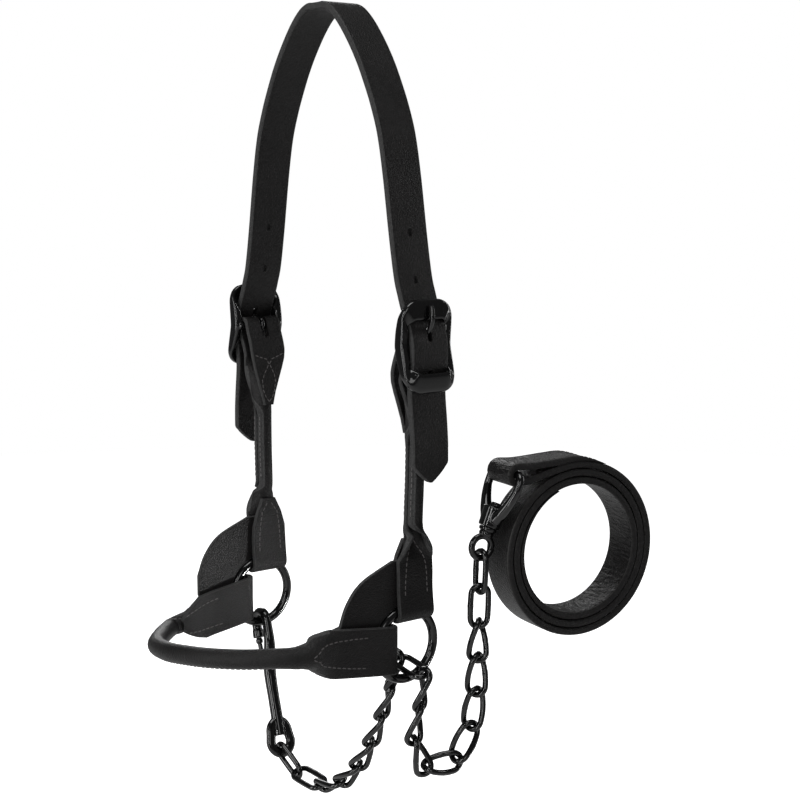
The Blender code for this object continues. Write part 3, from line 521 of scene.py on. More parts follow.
def sew(name, rows, body, spacing=3.3, length=2.5, thread=0.85):
    """Stitches along rows of (point, way out) on the leather: short bars, half sunk in it, that
    narrow at both ends, where the thread goes down its holes."""
    points, faces = [], []
    for row in rows:
        run, due = 0.0, spacing / 2
        for (here, facing), (there, onward) in zip(row, row[1:]):
            step = (there - here).length * 1000
            while step and run + step >= due:
                share = (due - run) / step
                centre = here.lerp(there, share)
                up = facing.lerp(onward, share).normalized()
                along = (there - here).normalized()
                beside = along.cross(up).normalized()
                first = len(points)
                for shift, size in STITCH_SHAPE:
                    for k in range(STITCH_SIDES):
                        turn = 2 * math.pi * k / STITCH_SIDES
                        ring = beside * math.cos(turn) + up * math.sin(turn)
                        points.append(centre + (along * shift * length / 2
                                                + ring * size * thread / 2) / 1000)
                faces += [tuple(first + k for k in face)
                          for face in tube_faces(STITCH_SIDES, len(STITCH_SHAPE))]
                due += spacing
            run += step
    made = skin(name, points, faces, THREAD)
    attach(made, body)


def row_on(strip, knots, face, steps=8, sunk=0.1):
    """A row on the strip's face through (run, across) knots, smooth enough to sew along."""
    line = []
    for (run, a), (onward, c) in zip(knots, knots[1:]):
        for i in range(steps):
            share = i / steps
            place = (run + (onward - run) * share, a + (c - a) * share)
            line.append(strip.on_face(*place, face, -sunk))
    line.append(strip.on_face(*knots[-1], face, -sunk))
    return line


def laid_cord(name, points, radius, replaced):
    """Three-strand cotton cord inside a rolled strip: lobed round, and turning along its length."""
    spots = []
    run = 0.0
    for i, (point, level, out) in enumerate(points):
        if i:
            run += (point - points[i - 1][0]).length * 1000
        for k in range(CORD_SIDES):
            turn = 2 * math.pi * k / CORD_SIDES
            lobe = radius * (0.9 + 0.1 * abs(math.cos(1.5 * (turn - run / STRAND_LAY))))
            spots.append(point + (level * math.cos(turn) + out * math.sin(turn)) * lobe / 1000)
    made = skin(name, spots, tube_faces(CORD_SIDES, len(points)), THREAD)
    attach(made, "headstall")
    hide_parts(replaced)


def cord_line(strip):
    """The middle of the rolled part, where the curl is full."""
    return [(row.centre - row.out * curl_depth(row) / 1000, row.level, row.out)
            for row in strip.rows if row.curl > CLOSED_CURL]


def closing(share):
    """How far a strip has closed round its cord, so that it narrows evenly from flat to rolled."""
    return 1 - (1 - share) ** 1.5


def cheek_strip(side, steps=10):
    """From the tapered end below the bar, round the bar, down the roll, round the ring and up to
    the other tapered end. Both ends lie on the side that faces the horse."""
    wrap = BAR_WIRE / 2 + GAP + PLY_THICKNESS / 2
    flat = CHEEK_WIDTH
    rows = [(71.9, 121.5, 6.8, 0), (72.0, 125.5, 8.6, 0), (72.2, 130, 11, 0), (72.2, 137, 15.5, 0),
            (71.9, 145, 20.5, 0), (71.7, 151, 23.6, 0), (72.2, 156.5, flat, 0),
            (73.8, 162, flat, 0), (76.4, 168.5, flat, 0)]
    rows += [(y, z, flat, 0) for y, z in arc((BAR_SIDE, BAR_LEVEL), wrap, 170, 0, 7)]
    rows += [(84.2, 164.5, flat, 0), (81.2, 158.5, flat, 0)]
    for i in range(steps + 1):
        share = i / steps
        curl = FULL_CURL * closing(share)
        rows.append((78.2 + 1.2 * (1 - share) ** 3, 153 - 41 * share, flat, curl))
    rows += [(78.0, 98, flat, FULL_CURL), (77.7, 89, flat, FULL_CURL), (77.3, 80, flat, FULL_CURL)]
    for i in range(steps + 1):
        share = 1 - i / steps
        rows.append((78.0 - share, 72 - 23 * i / steps, flat, FULL_CURL * closing(share)))
    outer, inner = RING_SIDE + APART, RING_SIDE - APART
    rows += [(outer, 42, flat, 0), (outer, 34, flat, 0), (outer + 0.5, 27, flat, 0)]
    rows += [(y, z, flat, 0) for y, z in arc((RING_SIDE, 19.0), ROUND_RING, 0, -180, 8)]
    rows += [(inner - 0.5, 27, flat, 0), (inner, 34, flat, 0), (inner, 43, 24, 0),
             (inner, 52, 18.5, 0), (inner + 0.4, 61, 10, 0)]
    stations = []
    for y, z, width, curl in rows:
        drift = 5.4 + 0.6 * min(max((z - 60) / 60, 0), 1)
        stations.append((spot(drift, side * y, z), width, curl, PLY_THICKNESS))
    return Strip(stations, Vector((1, 0, 0)), -side, 1.3, math.radians(CHEEK_SEAM + 6 * side))


def cheek_row(cheek, places, ply, hand, face):
    """A row through (across, level) places on one ply of the cheek, on that hand of its middle."""
    knots = [(cheek.run_at(2, (z - CROWN_UNDERSIDE) / 1000, ply), hand * a) for a, z in places]
    return row_on(cheek, knots, face)


for word, side in SIDES:
    cheek = cheek_strip(side)
    leather = cheek.build(f"{word}_cheek_leather", BRIDLE_LEATHER, 18)
    punch(leather, spot(CROWN_X, side * 84, 172.5), *BAR_SLOT_SIZE, 24)
    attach(leather, "headstall")
    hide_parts(f"{word}_cheek")
    laid_cord(f"{word}_cheek_cord", cord_line(cheek), CHEEK_CORD_RADIUS, f"{word}_cheek_core")
    rows = [cheek_row(cheek, places, ply, hand, -1)
            for places in (BAR_ROW, RING_ROW) for hand in (-1, 1) for ply in (0, 1)]
    rows += [cheek_row(cheek, SEAM_ROW, 0, hand, 1) for hand in (-1, 1)]
    sew(f"{word}_cheek_stitches", rows, "headstall")


# Noseband: one strip from ring to ring round the nose, folded round each ring and sewn to itself
# with a pointed row, and rolled round a cord over the nose, with its seam below. It is trimmed
# 3 mm narrower where it is rolled.

NOSE_WIDTH = 28.0
ROLL_TRIM = 3
NOSE_SEAM = math.radians(75)
NOSE_SEAM_INSET = 3.2
NOSE_CORD_RADIUS = 2.5
POINTED_ROW = ((0.3, -67), (3, -63), (5.5, -58), (7.4, -49), (8.2, -40), (8.6, -31))
RETURN_END = -59
NOSE_LINE = (
    (-66, -76.6, 5.0), (-76, -72.6, 5.6), (-86, -66, 5.4), (-95, -57, 4.6), (-102, -46, 3.6),
    (-107, -33, 2.2), (-109.5, -18, 0.4), (-110, -2, -1.8), (-107, 14, -4.2), (-101.5, 29, -6.8),
    (-94, 42.5, -9.2), (-85, 55, -11), (-76, 66, -12.2), (-66, 75.6, -12.6),
)


def nose_curl(x, side):
    """How far the strip has closed at that place: sooner on the far side, behind its inner ply."""
    start, length = (-49, 33) if side < 0 else (-40, 17)
    return FULL_CURL * closing(min(max((start - x) / length, 0), 1))


def nose_fold(side):
    """From the end of the inner ply back to the ring, round its wire, and forward outside it."""
    outer, inner, flat = RING_SIDE + APART, RING_SIDE - APART, NOSE_WIDTH
    rows = [(-60, inner - 2.2, 9, 0), (-56.5, inner - 2.1, 15, 0), (-51, inner - 1.6, 22.5, 0),
            (-45, inner - 0.6, flat, 0), (-38, inner - 0.1, flat, 0),
            (-28, RING_SIDE - ROUND_RING + 0.6, flat, 0), (-19, RING_SIDE - ROUND_RING, flat, 0)]
    rows += [(x, y, flat, 0) for x, y in arc((-12, RING_SIDE), ROUND_RING, -90, 90, 8)]
    rows += [(-19, RING_SIDE + ROUND_RING, flat, 0), (-28, RING_SIDE + ROUND_RING - 0.6, flat, 0),
             (-38, outer + 0.1, flat, 0)]
    rows += [(x, outer - 0.1 * (-40 - x), flat, nose_curl(x, side))
             for x in (-42, -44, -46, -48, -50, -52, -54, -56, -58, -61)]
    stations = []
    for x, y, width, curl in rows:
        share = min(max((-5 - x) / 43, 0), 1.5)
        level = -1.5 + (5.0 if side < 0 else -8.0) * share
        stations.append((spot(x, side * y, level), width, curl, PLY_THICKNESS))
    return stations


over_nose = []
for x, y, z in NOSE_LINE:
    curl = nose_curl(x, y)
    width = NOSE_WIDTH - ROLL_TRIM * curl / FULL_CURL
    over_nose.append((spot(x, y, z), width, curl, PLY_THICKNESS))
stations = nose_fold(-1) + over_nose + nose_fold(1)[::-1]
noseband = Strip(stations, Vector((0, 0, 1)), 1, 1.3, NOSE_SEAM)
leather = noseband.build("noseband_leather", BRIDLE_LEATHER, 18)
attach(leather, "headstall")
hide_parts("noseband")
laid_cord("noseband_cord", cord_line(noseband), NOSE_CORD_RADIUS, "noseband_core")

rows = []
for ply in (0, 1, 3, 2):
    for hand in (-1, 1):
        # Past the inner ply's end, a place is passed once less.
        knots = [(noseband.run_at(0, (x - CROWN_X) / 1000, ply - (x < RETURN_END)), hand * a)
                 for a, x in POINTED_ROW if ply in (1, 2) or x > RETURN_END]
        rows.append(row_on(noseband, knots, 1))
full = [row.run for row in noseband.rows if row.curl > CLOSED_CURL]
runs = [full[0] + (full[-1] - full[0]) * i / 12 for i in range(13)]
for hand in (-1, 1):
    across = hand * (NOSE_WIDTH / 2 - NOSE_SEAM_INSET)
    rows.append(row_on(noseband, [(run, across) for run in runs], 1))
sew("noseband_stitches", rows, "headstall")


# Gussets: a flat piece on each side, cut to a quarter curve, sewn between the plies of cheek and
# noseband, with its long edge left bare, edged and slicked.

GUSSET_EDGE = ((-9, 50), (-30, 41), (-40.5, 30), (-46, 17))
GUSSET_EDGING = 0.7

for word, side in SIDES:
    edge = [(Vector((x, z, 0)) / 1000,) for x, z in GUSSET_EDGE]
    outline = [(13, 50)] + [(point.x * 1000, point.y * 1000) for point, in smoothed(edge, 2)]
    outline += [(-46, 4), (-30, 2)]
    outline += arc((RING_X, 0), RING_RADIUS + RING_WIRE / 2 + 0.8, 176, 60, 24)
    half = GUSSET_THICKNESS / 2
    points = [spot(x, side * RING_SIDE + depth, z) for depth in (-half, half) for x, z in outline]
    count = len(outline)
    faces = [tuple(range(count)), tuple(range(2 * count - 1, count - 1, -1))]
    faces += [(i, (i + 1) % count, count + (i + 1) % count, count + i) for i in range(count)]
    gusset = skin(f"{word}_gusset_leather", points, faces, BRIDLE_LEATHER)
    modify(gusset, "edging", "BEVEL", width=GUSSET_EDGING / 1000, segments=3, limit_method="ANGLE")
    cuts = []
    for vert in gusset.data.vertices:
        depth = abs(vert.co.y * 1000 - side * RING_SIDE)
        cuts.append(1 - min(max((depth - GUSSET_EDGING) / (half - GUSSET_EDGING), 0), 1))
    gusset.data.attributes.new("cut", "FLOAT", "POINT").data.foreach_set("value", cuts)
    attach(gusset, "headstall")
    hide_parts(f"{word}_gusset")


# Rings: a welded ring of 5.5 mm steel wire on each side, dipped in gloss black enamel, which
# turns in the folds of cheek and noseband.


def black_enamel():
    """Stoved black enamel on steel: near black, glossy, with the faint ripple of a dipped coat and
    a slightly duller bloom here and there from handling."""
    look, tree, shader, place = new_look("stoved_black_enamel")
    ripple = add_node(tree, "ShaderNodeTexNoise", {
        "Vector": place, "Scale": 1 / 6, "Detail": 2.0})
    bloom = add_node(tree, "ShaderNodeTexNoise", {
        "Vector": place, "Scale": 1 / 7, "Detail": 4.0, "Roughness": 0.6})
    colour = add_node(tree, "ShaderNodeMix", {
        0: bloom.outputs[0], 6: linear("#050505"), 7: linear("#0c0c0d")}, data_type="RGBA")
    tree.links.new(colour.outputs[2], shader.inputs["Base Color"])
    dull = add_node(tree, "ShaderNodeMapRange", {
        "Value": bloom.outputs[0], "From Min": 0.35, "From Max": 0.7,
        "To Min": 0.06, "To Max": 0.14})
    tree.links.new(dull.outputs[0], shader.inputs["Roughness"])
    bump = add_node(tree, "ShaderNodeBump", {
        "Height": ripple.outputs[0], "Strength": 0.1, "Distance": 0.0002})
    tree.links.new(bump.outputs[0], shader.inputs["Normal"])
    shader.inputs["Specular IOR Level"].default_value = 0.45
    return look


ENAMEL = black_enamel()


def settle(piece, body, *nodes):
    """Gives a metal piece its enamel, its body and the solids that it stands for."""
    piece.data.materials.clear()
    piece.data.materials.append(ENAMEL)
    piece.data.shade_smooth()
    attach(piece, body)
    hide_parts(*nodes)


for word, side in SIDES:
    bpy.ops.object.select_all(action="DESELECT")
    bpy.ops.mesh.primitive_torus_add(
        major_radius=RING_RADIUS / 1000, minor_radius=RING_WIRE / 2000, major_segments=96,
        minor_segments=20, location=spot(RING_X, side * RING_SIDE, 0), rotation=(math.pi / 2, 0, 0))
    ring = bpy.context.object
    bpy.ops.object.transform_apply(location=True, rotation=True, scale=True)
    ring.name = f"{word}_ring_enamelled"
    settle(ring, f"{word}_ring", f"{word}_ring")


# Buckles: a cast frame on each side, with a broad plate above and below its window, slim bowed
# sides and a round bar across the middle, and a forged tongue that hinges on the bar.

FRAME_WIDTH = 35.6
FRAME_HEIGHT = 52.0
FRAME_WIRE = 5.4
SIDE_THICKNESS = 5.4
SIDE_DEPTH = 8.4
SIDE_OUTSET = 3.1
FRAME_LEAN = 0.16
FRAME_BOW = 6.3
FRAME_CORNER = 11.0
WINDOW_CORNER = 4
SECTION_STEPS = 20
PLATE_HEIGHT = 11.5
LIP_SIDES = {"upper": 89.4, "lower": 94.6}
LIP_THICKNESS = 3.0
TONGUE_WIRE = 3.0


def frame_depth(level, bowed):
    """How far out the frame's middle is: its slim sides bow in, its plates' lips stand out."""
    tall = (FRAME_HEIGHT - FRAME_WIRE) / 2
    bow = min(1, abs(level) / (tall - 1)) ** 1.6
    side = BAR_SIDE + SIDE_OUTSET + (FRAME_BOW - SIDE_OUTSET) * bow + FRAME_LEAN * max(-level, 0)
    window = FRAME_HEIGHT / 2 - PLATE_HEIGHT
    share = min(max((abs(level) - window + 4) / 3.6, 0), 1)
    lip = LIP_SIDES["upper"] if level > 0 else LIP_SIDES["lower"]
    return side if bowed else side + (lip - side) * share * share * (3 - 2 * share)


def rounded_box(half_width, half_height, corner):
    """Points round a box with rounded corners, anticlockwise, the same count for any size."""
    points = []
    for sign_x, sign_z, start in ((1, 1, 0), (-1, 1, 90), (-1, -1, 180), (1, -1, 270)):
        points += arc((sign_x * (half_width - corner), sign_z * (half_height - corner)),
                      corner, start, start + 90, 10)
        for i in range(1, 14):
            share = 1 - 2 * i / 14
            if start in (0, 180):
                points.append((sign_x * (half_width - corner) * share, sign_z * half_height))
            else:
                points.append((sign_x * half_width, sign_z * (half_height - corner) * share))
    return points


def cast_in_one(name, pieces, fineness, soften):
    """Joins overlapping pieces into one skin, and softens its inner corners as a casting's are.
    The fineness is the skin's grid in millimetres, and soften is how often it is relaxed."""
    bpy.ops.object.select_all(action="DESELECT")
    for piece in pieces:
        piece.select_set(True)
    bpy.context.view_layer.objects.active = pieces[0]
    bpy.ops.object.join()
    made = bpy.context.object
    made.name = name
    modify(made, "skin", "REMESH", mode="VOXEL", voxel_size=fineness / 1000)
    modify(made, "relax", "SMOOTH", factor=0.5, iterations=soften)
    return made


for word, side in SIDES:
    outer = rounded_box(FRAME_WIDTH / 2, FRAME_HEIGHT / 2, FRAME_CORNER)
    inner = rounded_box(FRAME_WIDTH / 2 - SIDE_THICKNESS, FRAME_HEIGHT / 2 - PLATE_HEIGHT,
                        WINDOW_CORNER)
    points = []
    for (a, b), (c, d) in zip(outer, inner):
        start = Vector((CROWN_X + a, frame_depth(b, True), BAR_LEVEL + b))
        end = Vector((CROWN_X + c, frame_depth(d, False), BAR_LEVEL + d))
        plate = min(max((abs(d) - 8) / 4, 0), 1)
        deep_side = SIDE_DEPTH + (FRAME_WIRE - SIDE_DEPTH) * min(abs(b) / 20, 1) ** 3
        rim = deep_side / 2 - GAP
        lip = (deep_side + (LIP_THICKNESS - deep_side) * plate) / 2
        # Each section, squarer than an ellipse, runs from the outer rim in to the window.
        for k in range(SECTION_STEPS):
            turn = 2 * math.pi * k / SECTION_STEPS
            share = 0.5 - 0.5 * math.copysign(abs(math.cos(turn)) ** 0.55, math.cos(turn))
            deep = math.copysign(abs(math.sin(turn)) ** 0.5, math.sin(turn))
            here = start.lerp(end, share) + Vector((0, (rim + (lip - rim) * share) * deep, 0))
            points.append(spot(here.x, side * here.y, here.z))
    faces = tube_faces(SECTION_STEPS, len(outer), closed=True)
    buckle = skin(f"{word}_buckle_frame_cast", points, faces, ENAMEL)
    bpy.ops.object.select_all(action="DESELECT")
    bpy.ops.mesh.primitive_cylinder_add(
        vertices=24, radius=BAR_WIRE / 2000, depth=(FRAME_WIDTH - SIDE_THICKNESS) / 1000,
        location=spot(CROWN_X, side * BAR_SIDE, BAR_LEVEL), rotation=(0, math.pi / 2, 0))
    bar = bpy.context.object
    buckle = cast_in_one(f"{word}_buckle_frame_cast", [buckle, bar], fineness=0.32, soften=24)
    settle(buckle, "headstall", f"{word}_buckle_frame")


def drawn_wire(name, points, wire, closed=False, sizes=None, sides=14):
    """A round bar along world points, as one closed mesh: the wire's sizes are shares of it."""
    curve = bpy.data.curves.new(name, "CURVE")
    curve.dimensions = "3D"
    curve.bevel_depth = wire / 2000
    curve.bevel_resolution = sides // 2 - 2
    curve.use_fill_caps = not closed
    spline = curve.splines.new("POLY")
    spline.points.add(len(points) - 1)
    for i, point in enumerate(points):
        spline.points[i].co = (*point, 1)
        spline.points[i].radius = sizes[i] if sizes else 1
    spline.use_cyclic_u = closed
    made = bpy.data.objects.new(name, curve)
    scene.collection.objects.link(made)
    bpy.ops.object.select_all(action="DESELECT")
    made.select_set(True)
    bpy.context.view_layer.objects.active = made
    bpy.ops.object.convert(target="MESH")
    made = bpy.context.object
    bpy.ops.object.mode_set(mode="EDIT")
    bpy.ops.mesh.select_all(action="SELECT")
    bpy.ops.mesh.remove_doubles(threshold=1e-6)
    bpy.ops.mesh.normals_make_consistent(inside=False)
    bpy.ops.object.mode_set(mode="OBJECT")
    return made


def through(points, step, sizes):
    """A smooth line through points, and the sizes between, a step in millimetres apart."""
    rows = smoothed([(point, size) for point, size in zip(points, sizes)], step)
    return [row[0] for row in rows], [row[1] for row in rows]


TONGUE_STEM = ((84.4, 174.9), (87.9, 178.4), (91.3, 182.6), (93.1, 187), (93.1, 190.5),
               (92.5, 194.5))
TONGUE_SIZES = (1.0, 1.0, 1.0, 1.0, 0.96, 0.72)

for word, side in SIDES:
    knuckle = BAR_WIRE / 2 + GAP + TONGUE_WIRE / 2
    loop = arc((BAR_SIDE, BAR_LEVEL), knuckle, 0, 350, 35)
    eye = drawn_wire("tongue_eye", [spot(CROWN_X, side * y, z) for y, z in loop], TONGUE_WIRE,
                     closed=True)
    stem = [spot(CROWN_X, side * y, z) for y, z in TONGUE_STEM]
    line, sizes = through(stem, 0.8, TONGUE_SIZES)
    stem = drawn_wire("tongue_stem", line, TONGUE_WIRE, sizes=sizes)
    tongue = cast_in_one(f"{word}_buckle_tongue_forged", [eye, stem], fineness=0.22, soften=12)
    settle(tongue, f"{word}_tongue", f"{word}_buckle_tongue")


# Snap: a cast bolt snap that hooks over the far ring. Its shank widens into a flat eye for the
# chain, its hook's tip has a thick collar, and a sprung wire gate closes against the collar.

SNAP_WIRE = 5.8
SNAP_HOOK = 6.3
SNAP_EYE_WIRE = 4.8
SNAP_EYE_RADIUS = 6.4
SNAP_EYE_BREADTH = 6.6
GATE_WIRE = 3.0
GATE_LINE = ((2.6, -32), (4.2, -26), (5.8, -18.5), (6.2, -14.2), (6.25, -13), (6.25, -11.4),
             (6.25, -10.1))
GATE_SIZES = (1, 1, 1, 1, 1.5, 1.5, 1.1)
SOCKET = (4.6, -30)
SOCKET_SIZE = (GATE_WIRE + 1, 8.4, 12)
SNAP_EYE = Vector((-4.0, 45.0, -98.0))
RING_LOW = Vector((RING_X, RING_SIDE, -RING_RADIUS))
SNAP_UP = (RING_LOW - SNAP_EYE).normalized()
SNAP_SIDE = SNAP_UP.cross(Vector((1, 0, 0))).normalized()
SNAP_LATERAL = SNAP_SIDE.cross(SNAP_UP).normalized()
SNAP_REACH = (RING_LOW - SNAP_EYE).length


def on_snap(side, along, across=0.0):
    """World point of the snap: towards the hook's tip, up from the ring's wire, and across."""
    return spot(*(RING_LOW + SNAP_SIDE * side + SNAP_UP * along + SNAP_LATERAL * across))


def turned(name, start, end, start_wire, end_wire):
    """A round turned piece between two points, with softened rims."""
    run = end - start
    bpy.ops.object.select_all(action="DESELECT")
    bpy.ops.mesh.primitive_cone_add(
        vertices=40, radius1=start_wire / 2000, radius2=end_wire / 2000, depth=run.length,
        location=(start + end) / 2, rotation=run.to_track_quat("Z", "Y").to_euler())
    made = bpy.context.object
    made.name = name
    bpy.ops.object.transform_apply(location=True, rotation=True, scale=True)
    modify(made, "rims", "BEVEL", width=0.0006, segments=3)
    return made


level = RING_WIRE / 2 + GAP + SNAP_WIRE / 2 - SNAP_HOOK
hook = [(SNAP_HOOK, -6.5), (SNAP_HOOK, -3.5)] + arc((0, level), SNAP_HOOK, 0, 180, 12)
sizes = [1.08] * len(hook)
hook += [(-SNAP_HOOK, -7), (-SNAP_HOOK + 0.4, -13), (-4.4, -19.5), (-2.1, -26), (-0.6, -32),
         (0, -39), (0, -50), (0, 10 - SNAP_REACH)]
sizes += [1.12, 1.22, 1.34, 1.4, 1.4, 1.36, 1.3, 1.38]
line, sizes = through([on_snap(a, b) for a, b in hook], 0.8, sizes)
shank = drawn_wire("snap_shank", line, SNAP_WIRE, sizes=sizes)
low, high = SNAP_EYE_RADIUS - SNAP_REACH, SNAP_EYE_RADIUS - SNAP_REACH + 5.5
broad = SNAP_EYE_RADIUS + (SNAP_EYE_BREADTH - SNAP_EYE_WIRE) / 2
loop = [(a * 0.86, b) for a, b in arc((0, high), broad, 0, 180, 24)]
loop += arc((0, low), broad, 180, 360, 24)
eye = drawn_wire("snap_eye", [on_snap(0, b, a) for a, b in loop], SNAP_EYE_BREADTH, closed=True)
middle = on_snap(0, low)
for vert in eye.data.vertices:
    off = (vert.co - middle).dot(SNAP_SIDE)
    vert.co -= SNAP_SIDE * off * (1 - SNAP_EYE_WIRE / SNAP_EYE_BREADTH)
collar = turned("snap_collar", on_snap(SNAP_HOOK, -4.6), on_snap(SNAP_HOOK, -10), 7.0, 7.4)
snap = cast_in_one("snap_casting", [shank, eye, collar], fineness=0.3, soften=22)
bpy.ops.object.select_all(action="DESELECT")
bpy.ops.mesh.primitive_cube_add(size=1)
socket = bpy.context.object
turn = Matrix((SNAP_LATERAL, SNAP_SIDE, SNAP_UP)).transposed().to_4x4()
size = Matrix.Diagonal((*[side / 1000 for side in SOCKET_SIZE], 1))
socket.data.transform(Matrix.Translation(on_snap(*SOCKET)) @ turn @ size)
cut_away(snap, socket)
settle(snap, "snap", "snap_body")
line, sizes = through([on_snap(side, along) for side, along in GATE_LINE], 0.6, GATE_SIZES)
gate = drawn_wire("snap_gate_wire", line, GATE_WIRE, sizes=sizes)
settle(gate, "gate", "snap_gate")


# Chain: welded links of 3.2 mm wire, each twisted a quarter turn so that the chain lies flat,
# with plain links by the fittings and one plain link across the near ring, all enamelled, which
# makes the wire fuller. The weld stands a little proud in the middle of one long side.

LINK_WIRE = 3.2
LINK_FULLER = 1.09
LINK_BELLY = 0.45
LINK_WIDTH = 13.0
LINK_SLACK = 0.8
CHIN_PITCH = 21.6
LEAD_PITCH = 20.4
WELD_SWELL = 0.07
WELD_REACH = 1.4
CROWN_STEPS = 14
SIDE_STEPS = 5
PLAIN = {"chin_link_1", "chin_link_2", "saddle_link", "lead_link_9", "lead_link_10"}


def lie_of(node):
    """Where a chain link's solid lies: its middle, its long way along Z, its width along X."""
    spots = np.array([vert.co for vert in frame["nodes"][node].data.vertices])
    middle = spots.mean(axis=0)
    _, axes = np.linalg.eigh(np.cov((spots - middle).T))
    along, width = Vector(axes[:, 2]), Vector(axes[:, 1])
    turn = Matrix((width, along.cross(width), along)).transposed().to_4x4()
    return Matrix.Translation(Vector(middle)) @ turn


for node in sorted(name for name in frame["nodes"] if "_link" in name):
    pitch = CHIN_PITCH if node.startswith("chin") else LEAD_PITCH
    radius = (LINK_WIDTH - LINK_WIRE) / 2
    reach = (pitch + LINK_SLACK + LINK_WIRE) / 2
    shoulder = reach - radius
    loop = arc((0, shoulder), radius, 0, 180, CROWN_STEPS)
    loop += [(-radius, shoulder * (1 - i / SIDE_STEPS)) for i in range(1, 2 * SIDE_STEPS)]
    loop += arc((0, -shoulder), radius, 180, 360, CROWN_STEPS)
    loop += [(radius, -shoulder * (1 - i / SIDE_STEPS)) for i in range(1, 2 * SIDE_STEPS)]
    twist = 0 if node in PLAIN else math.pi / 2
    points = []
    for across, along in loop:
        across += math.copysign(LINK_BELLY * math.cos(math.pi * along / reach / 2), across)
        turn = twist * min(max(along / reach, -1), 1) / 2
        points.append(Vector((across * math.cos(turn), across * math.sin(turn), along)) / 1000)
    lie = lie_of(node)
    swell = [1 + WELD_SWELL * math.exp(-(along / WELD_REACH) ** 2) * (across > 0)
             for across, along in loop]
    link = drawn_wire(f"{node}_welded", [lie @ point for point in points],
                      LINK_WIRE * LINK_FULLER, closed=True, sizes=swell, sides=12)
    settle(link, frame["nodes"][node]["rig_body"], node)


# Swivel and dee: the chain's last link hangs in a round cast eye, whose pin turns in the boss of
# a dee. The dee's bar lies in the fold of the lead strap.

CHAIN_END = Vector((43.59, -92.182, 51.387))
LEAD_YAW = math.radians(10)
LEAD_AHEAD = Vector((math.cos(LEAD_YAW), -math.sin(LEAD_YAW), 0))
LEAD_ACROSS = Vector((math.sin(LEAD_YAW), math.cos(LEAD_YAW), 0))
EYE_RADIUS = 6.5
EYE_WIRE = 4.0
EYE_ROOM = 0.3
EYE = (0.0, EYE_RADIUS - (EYE_WIRE + LINK_WIRE + LINK_SLACK) / 2 - EYE_ROOM)
DEE_BAR = (17.2, 44.5)
DEE_WIRE = 5.0
DEE_HALF = 15.8
BAR_REACH = math.hypot(DEE_BAR[0] - EYE[0], DEE_BAR[1] - EYE[1])


def on_lead(u, z, depth=0.0):
    """World point in the lead's upright plane, along it and up from the chain's last crown."""
    return spot(*(CHAIN_END + LEAD_AHEAD * u + Vector((0, 0, z)) + LEAD_ACROSS * depth))


def axis_point(distance, depth=0.0, aside=0.0):
    """World point on the swivel's axis, from the eye's centre towards the dee's bar."""
    run_u, run_z = (DEE_BAR[0] - EYE[0]) / BAR_REACH, (DEE_BAR[1] - EYE[1]) / BAR_REACH
    return on_lead(EYE[0] + run_u * distance - run_z * aside,
                   EYE[1] + run_z * distance + run_u * aside, depth)


loop = [axis_point(b, 0, a) for a, b in arc((0, 0), EYE_RADIUS, 0, 352, 44)]
eye = drawn_wire("eye", loop, EYE_WIRE, closed=True)
pin = turned("pin", axis_point(6.5), axis_point(26.5), 4.6, 4.6)
collar = turned("collar", axis_point(9.7), axis_point(12.1), 10.2, 10.6)
ring = turned("ring", axis_point(7.0), axis_point(9.3), 8.4, 8.8)
head = turned("head", axis_point(24.5), axis_point(27.0), 7.0, 5.6)
swivel = cast_in_one("swivel_eye_cast", [eye, pin, collar, ring, head], fineness=0.24, soften=12)
settle(swivel, "swivel", "swivel_eye")

corner = 4.5
line = [(-4.5, 16.5), (-6.5, 19.5), (-8.8, 22), (-13, 29), (-DEE_HALF + 0.3, 35.5), (-DEE_HALF, 38)]
line += arc((-DEE_HALF + corner, BAR_REACH - corner), corner, 180, 90, 6)
sizes = [1.5, 1.5, 1.4, 1.2] + [1.0] * (len(line) - 4)
line += [(-a, b) for a, b in reversed(line)]
sizes += sizes[::-1]
line, sizes = through([axis_point(b, a) for a, b in line], 0.9, sizes)
bow = drawn_wire("dee_bow", line, DEE_WIRE, sizes=sizes)
boss = turned("boss", axis_point(12.2), axis_point(24.3), 12.6, 13.2)
dee = cast_in_one("swivel_dee_cast", [bow, boss], fineness=0.28, soften=24)
cut_away(dee, turned("bore", axis_point(5), axis_point(33), 5.4, 5.4))
settle(dee, "dee", "swivel_dee")


# Lead strap: about 0.95 m of 25 mm strap, 4.2 mm thick, folded round the dee's bar with its
# thinned end sewn down on the outside, and put away in three turns of a flat coil. Its inner,
# flesh side creases where it is wound.

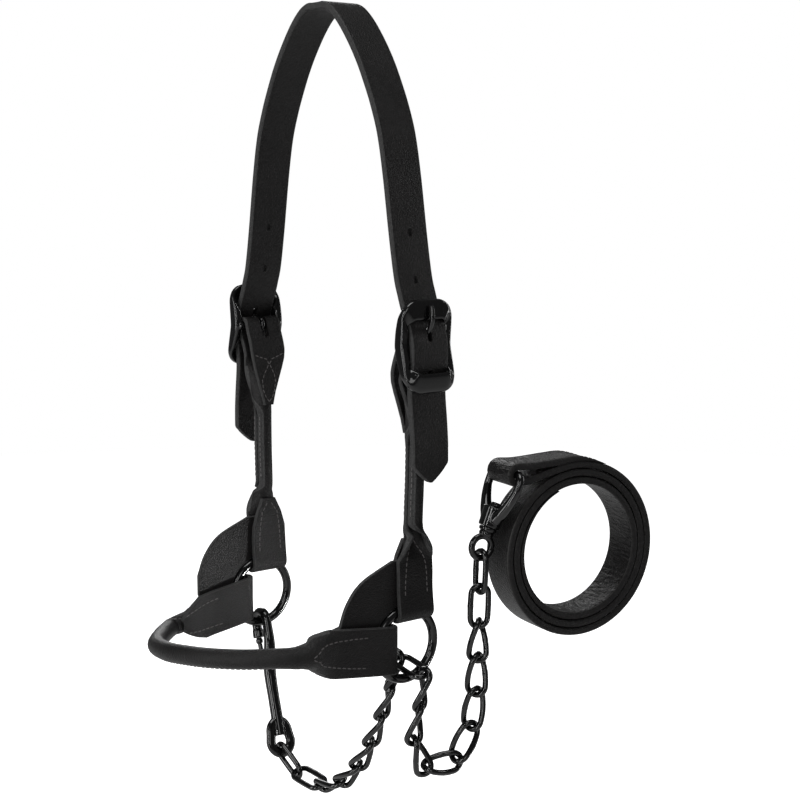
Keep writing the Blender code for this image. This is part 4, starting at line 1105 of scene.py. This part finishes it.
STRAP_THICKNESS = 4.2
COIL_CENTRE = (59.9, -4.1)
COIL_RADII = (53.4, 53.8)
COIL_PITCH = 4.8
COIL_TURNS = 3.0
COIL_START = math.radians(112)
COIL_STEPS = 40
THINNED_STEPS = 16
THINNED_END = 0.15
FOLD_END = ((0.115, 0.25), (0.085, 1.4), (0.055, 2.9), (0.02, STRAP_THICKNESS))
STITCH_INSET = 9.6


def coil_point(turn, outward=0.0):
    """Middle line of the coil in the lead's plane, that many turns in from its outer end."""
    angle = COIL_START - 2 * math.pi * turn
    sunk = STRAP_THICKNESS / 2 + COIL_PITCH * turn - outward
    return (COIL_CENTRE[0] + (COIL_RADII[0] - sunk) * math.cos(angle),
            COIL_CENTRE[1] + (COIL_RADII[1] - sunk) * math.sin(angle))


wrap = DEE_WIRE / 2 + GAP + STRAP_THICKNESS / 2
line = [(*coil_point(turn, (STRAP_THICKNESS + thick) / 2 + 0.05), thick)
        for turn, thick in FOLD_END]
line.append((DEE_BAR[0] + 10.5, DEE_BAR[1] + wrap - 0.5, STRAP_THICKNESS))
line += [(u, z, STRAP_THICKNESS) for u, z in arc(DEE_BAR, wrap, 90, 270, 8)]
line += [(DEE_BAR[0] + 8, DEE_BAR[1] - wrap + 1.0, STRAP_THICKNESS),
         (DEE_BAR[0] + 15, DEE_BAR[1] - wrap + 2.8, STRAP_THICKNESS)]
steps = round(COIL_TURNS * COIL_STEPS)
for i in range(1, steps + 1):
    thinned = max(0, 1 - (steps - i) / THINNED_STEPS)
    thick = STRAP_THICKNESS - (STRAP_THICKNESS - THINNED_END) * thinned
    pressed = (STRAP_THICKNESS - thick) / 2 + 0.5 * (1 - thick / STRAP_THICKNESS)
    line.append((*coil_point(COIL_TURNS * i / steps, pressed), thick))
stations = [(on_lead(u, z), STRAP_WIDTH, 0.0, thick) for u, z, thick in line]
lead = Strip(stations, LEAD_ACROSS, -1, 1.8)
# The rim colour is a painted highlight on the rounded corners of the coil's edges.
WOUND_LEATHER = bridle_leather(
    "wound_bridle_leather", face="#0b0a0a", worn="#131212", edge="#151414", rim="#393837",
    shine=0.4, creases=0.7)
leather = lead.build("lead_strap_leather", WOUND_LEATHER, edge=1.7)
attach(leather, "lead_strap")
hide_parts("lead_strap")
rows = [row_on(lead, [(run, hand * STITCH_INSET) for run in (5, 15, 25, 34, 43)], -1)
        for hand in (-1, 1)]
sew("lead_strap_stitches", rows, "lead_strap")
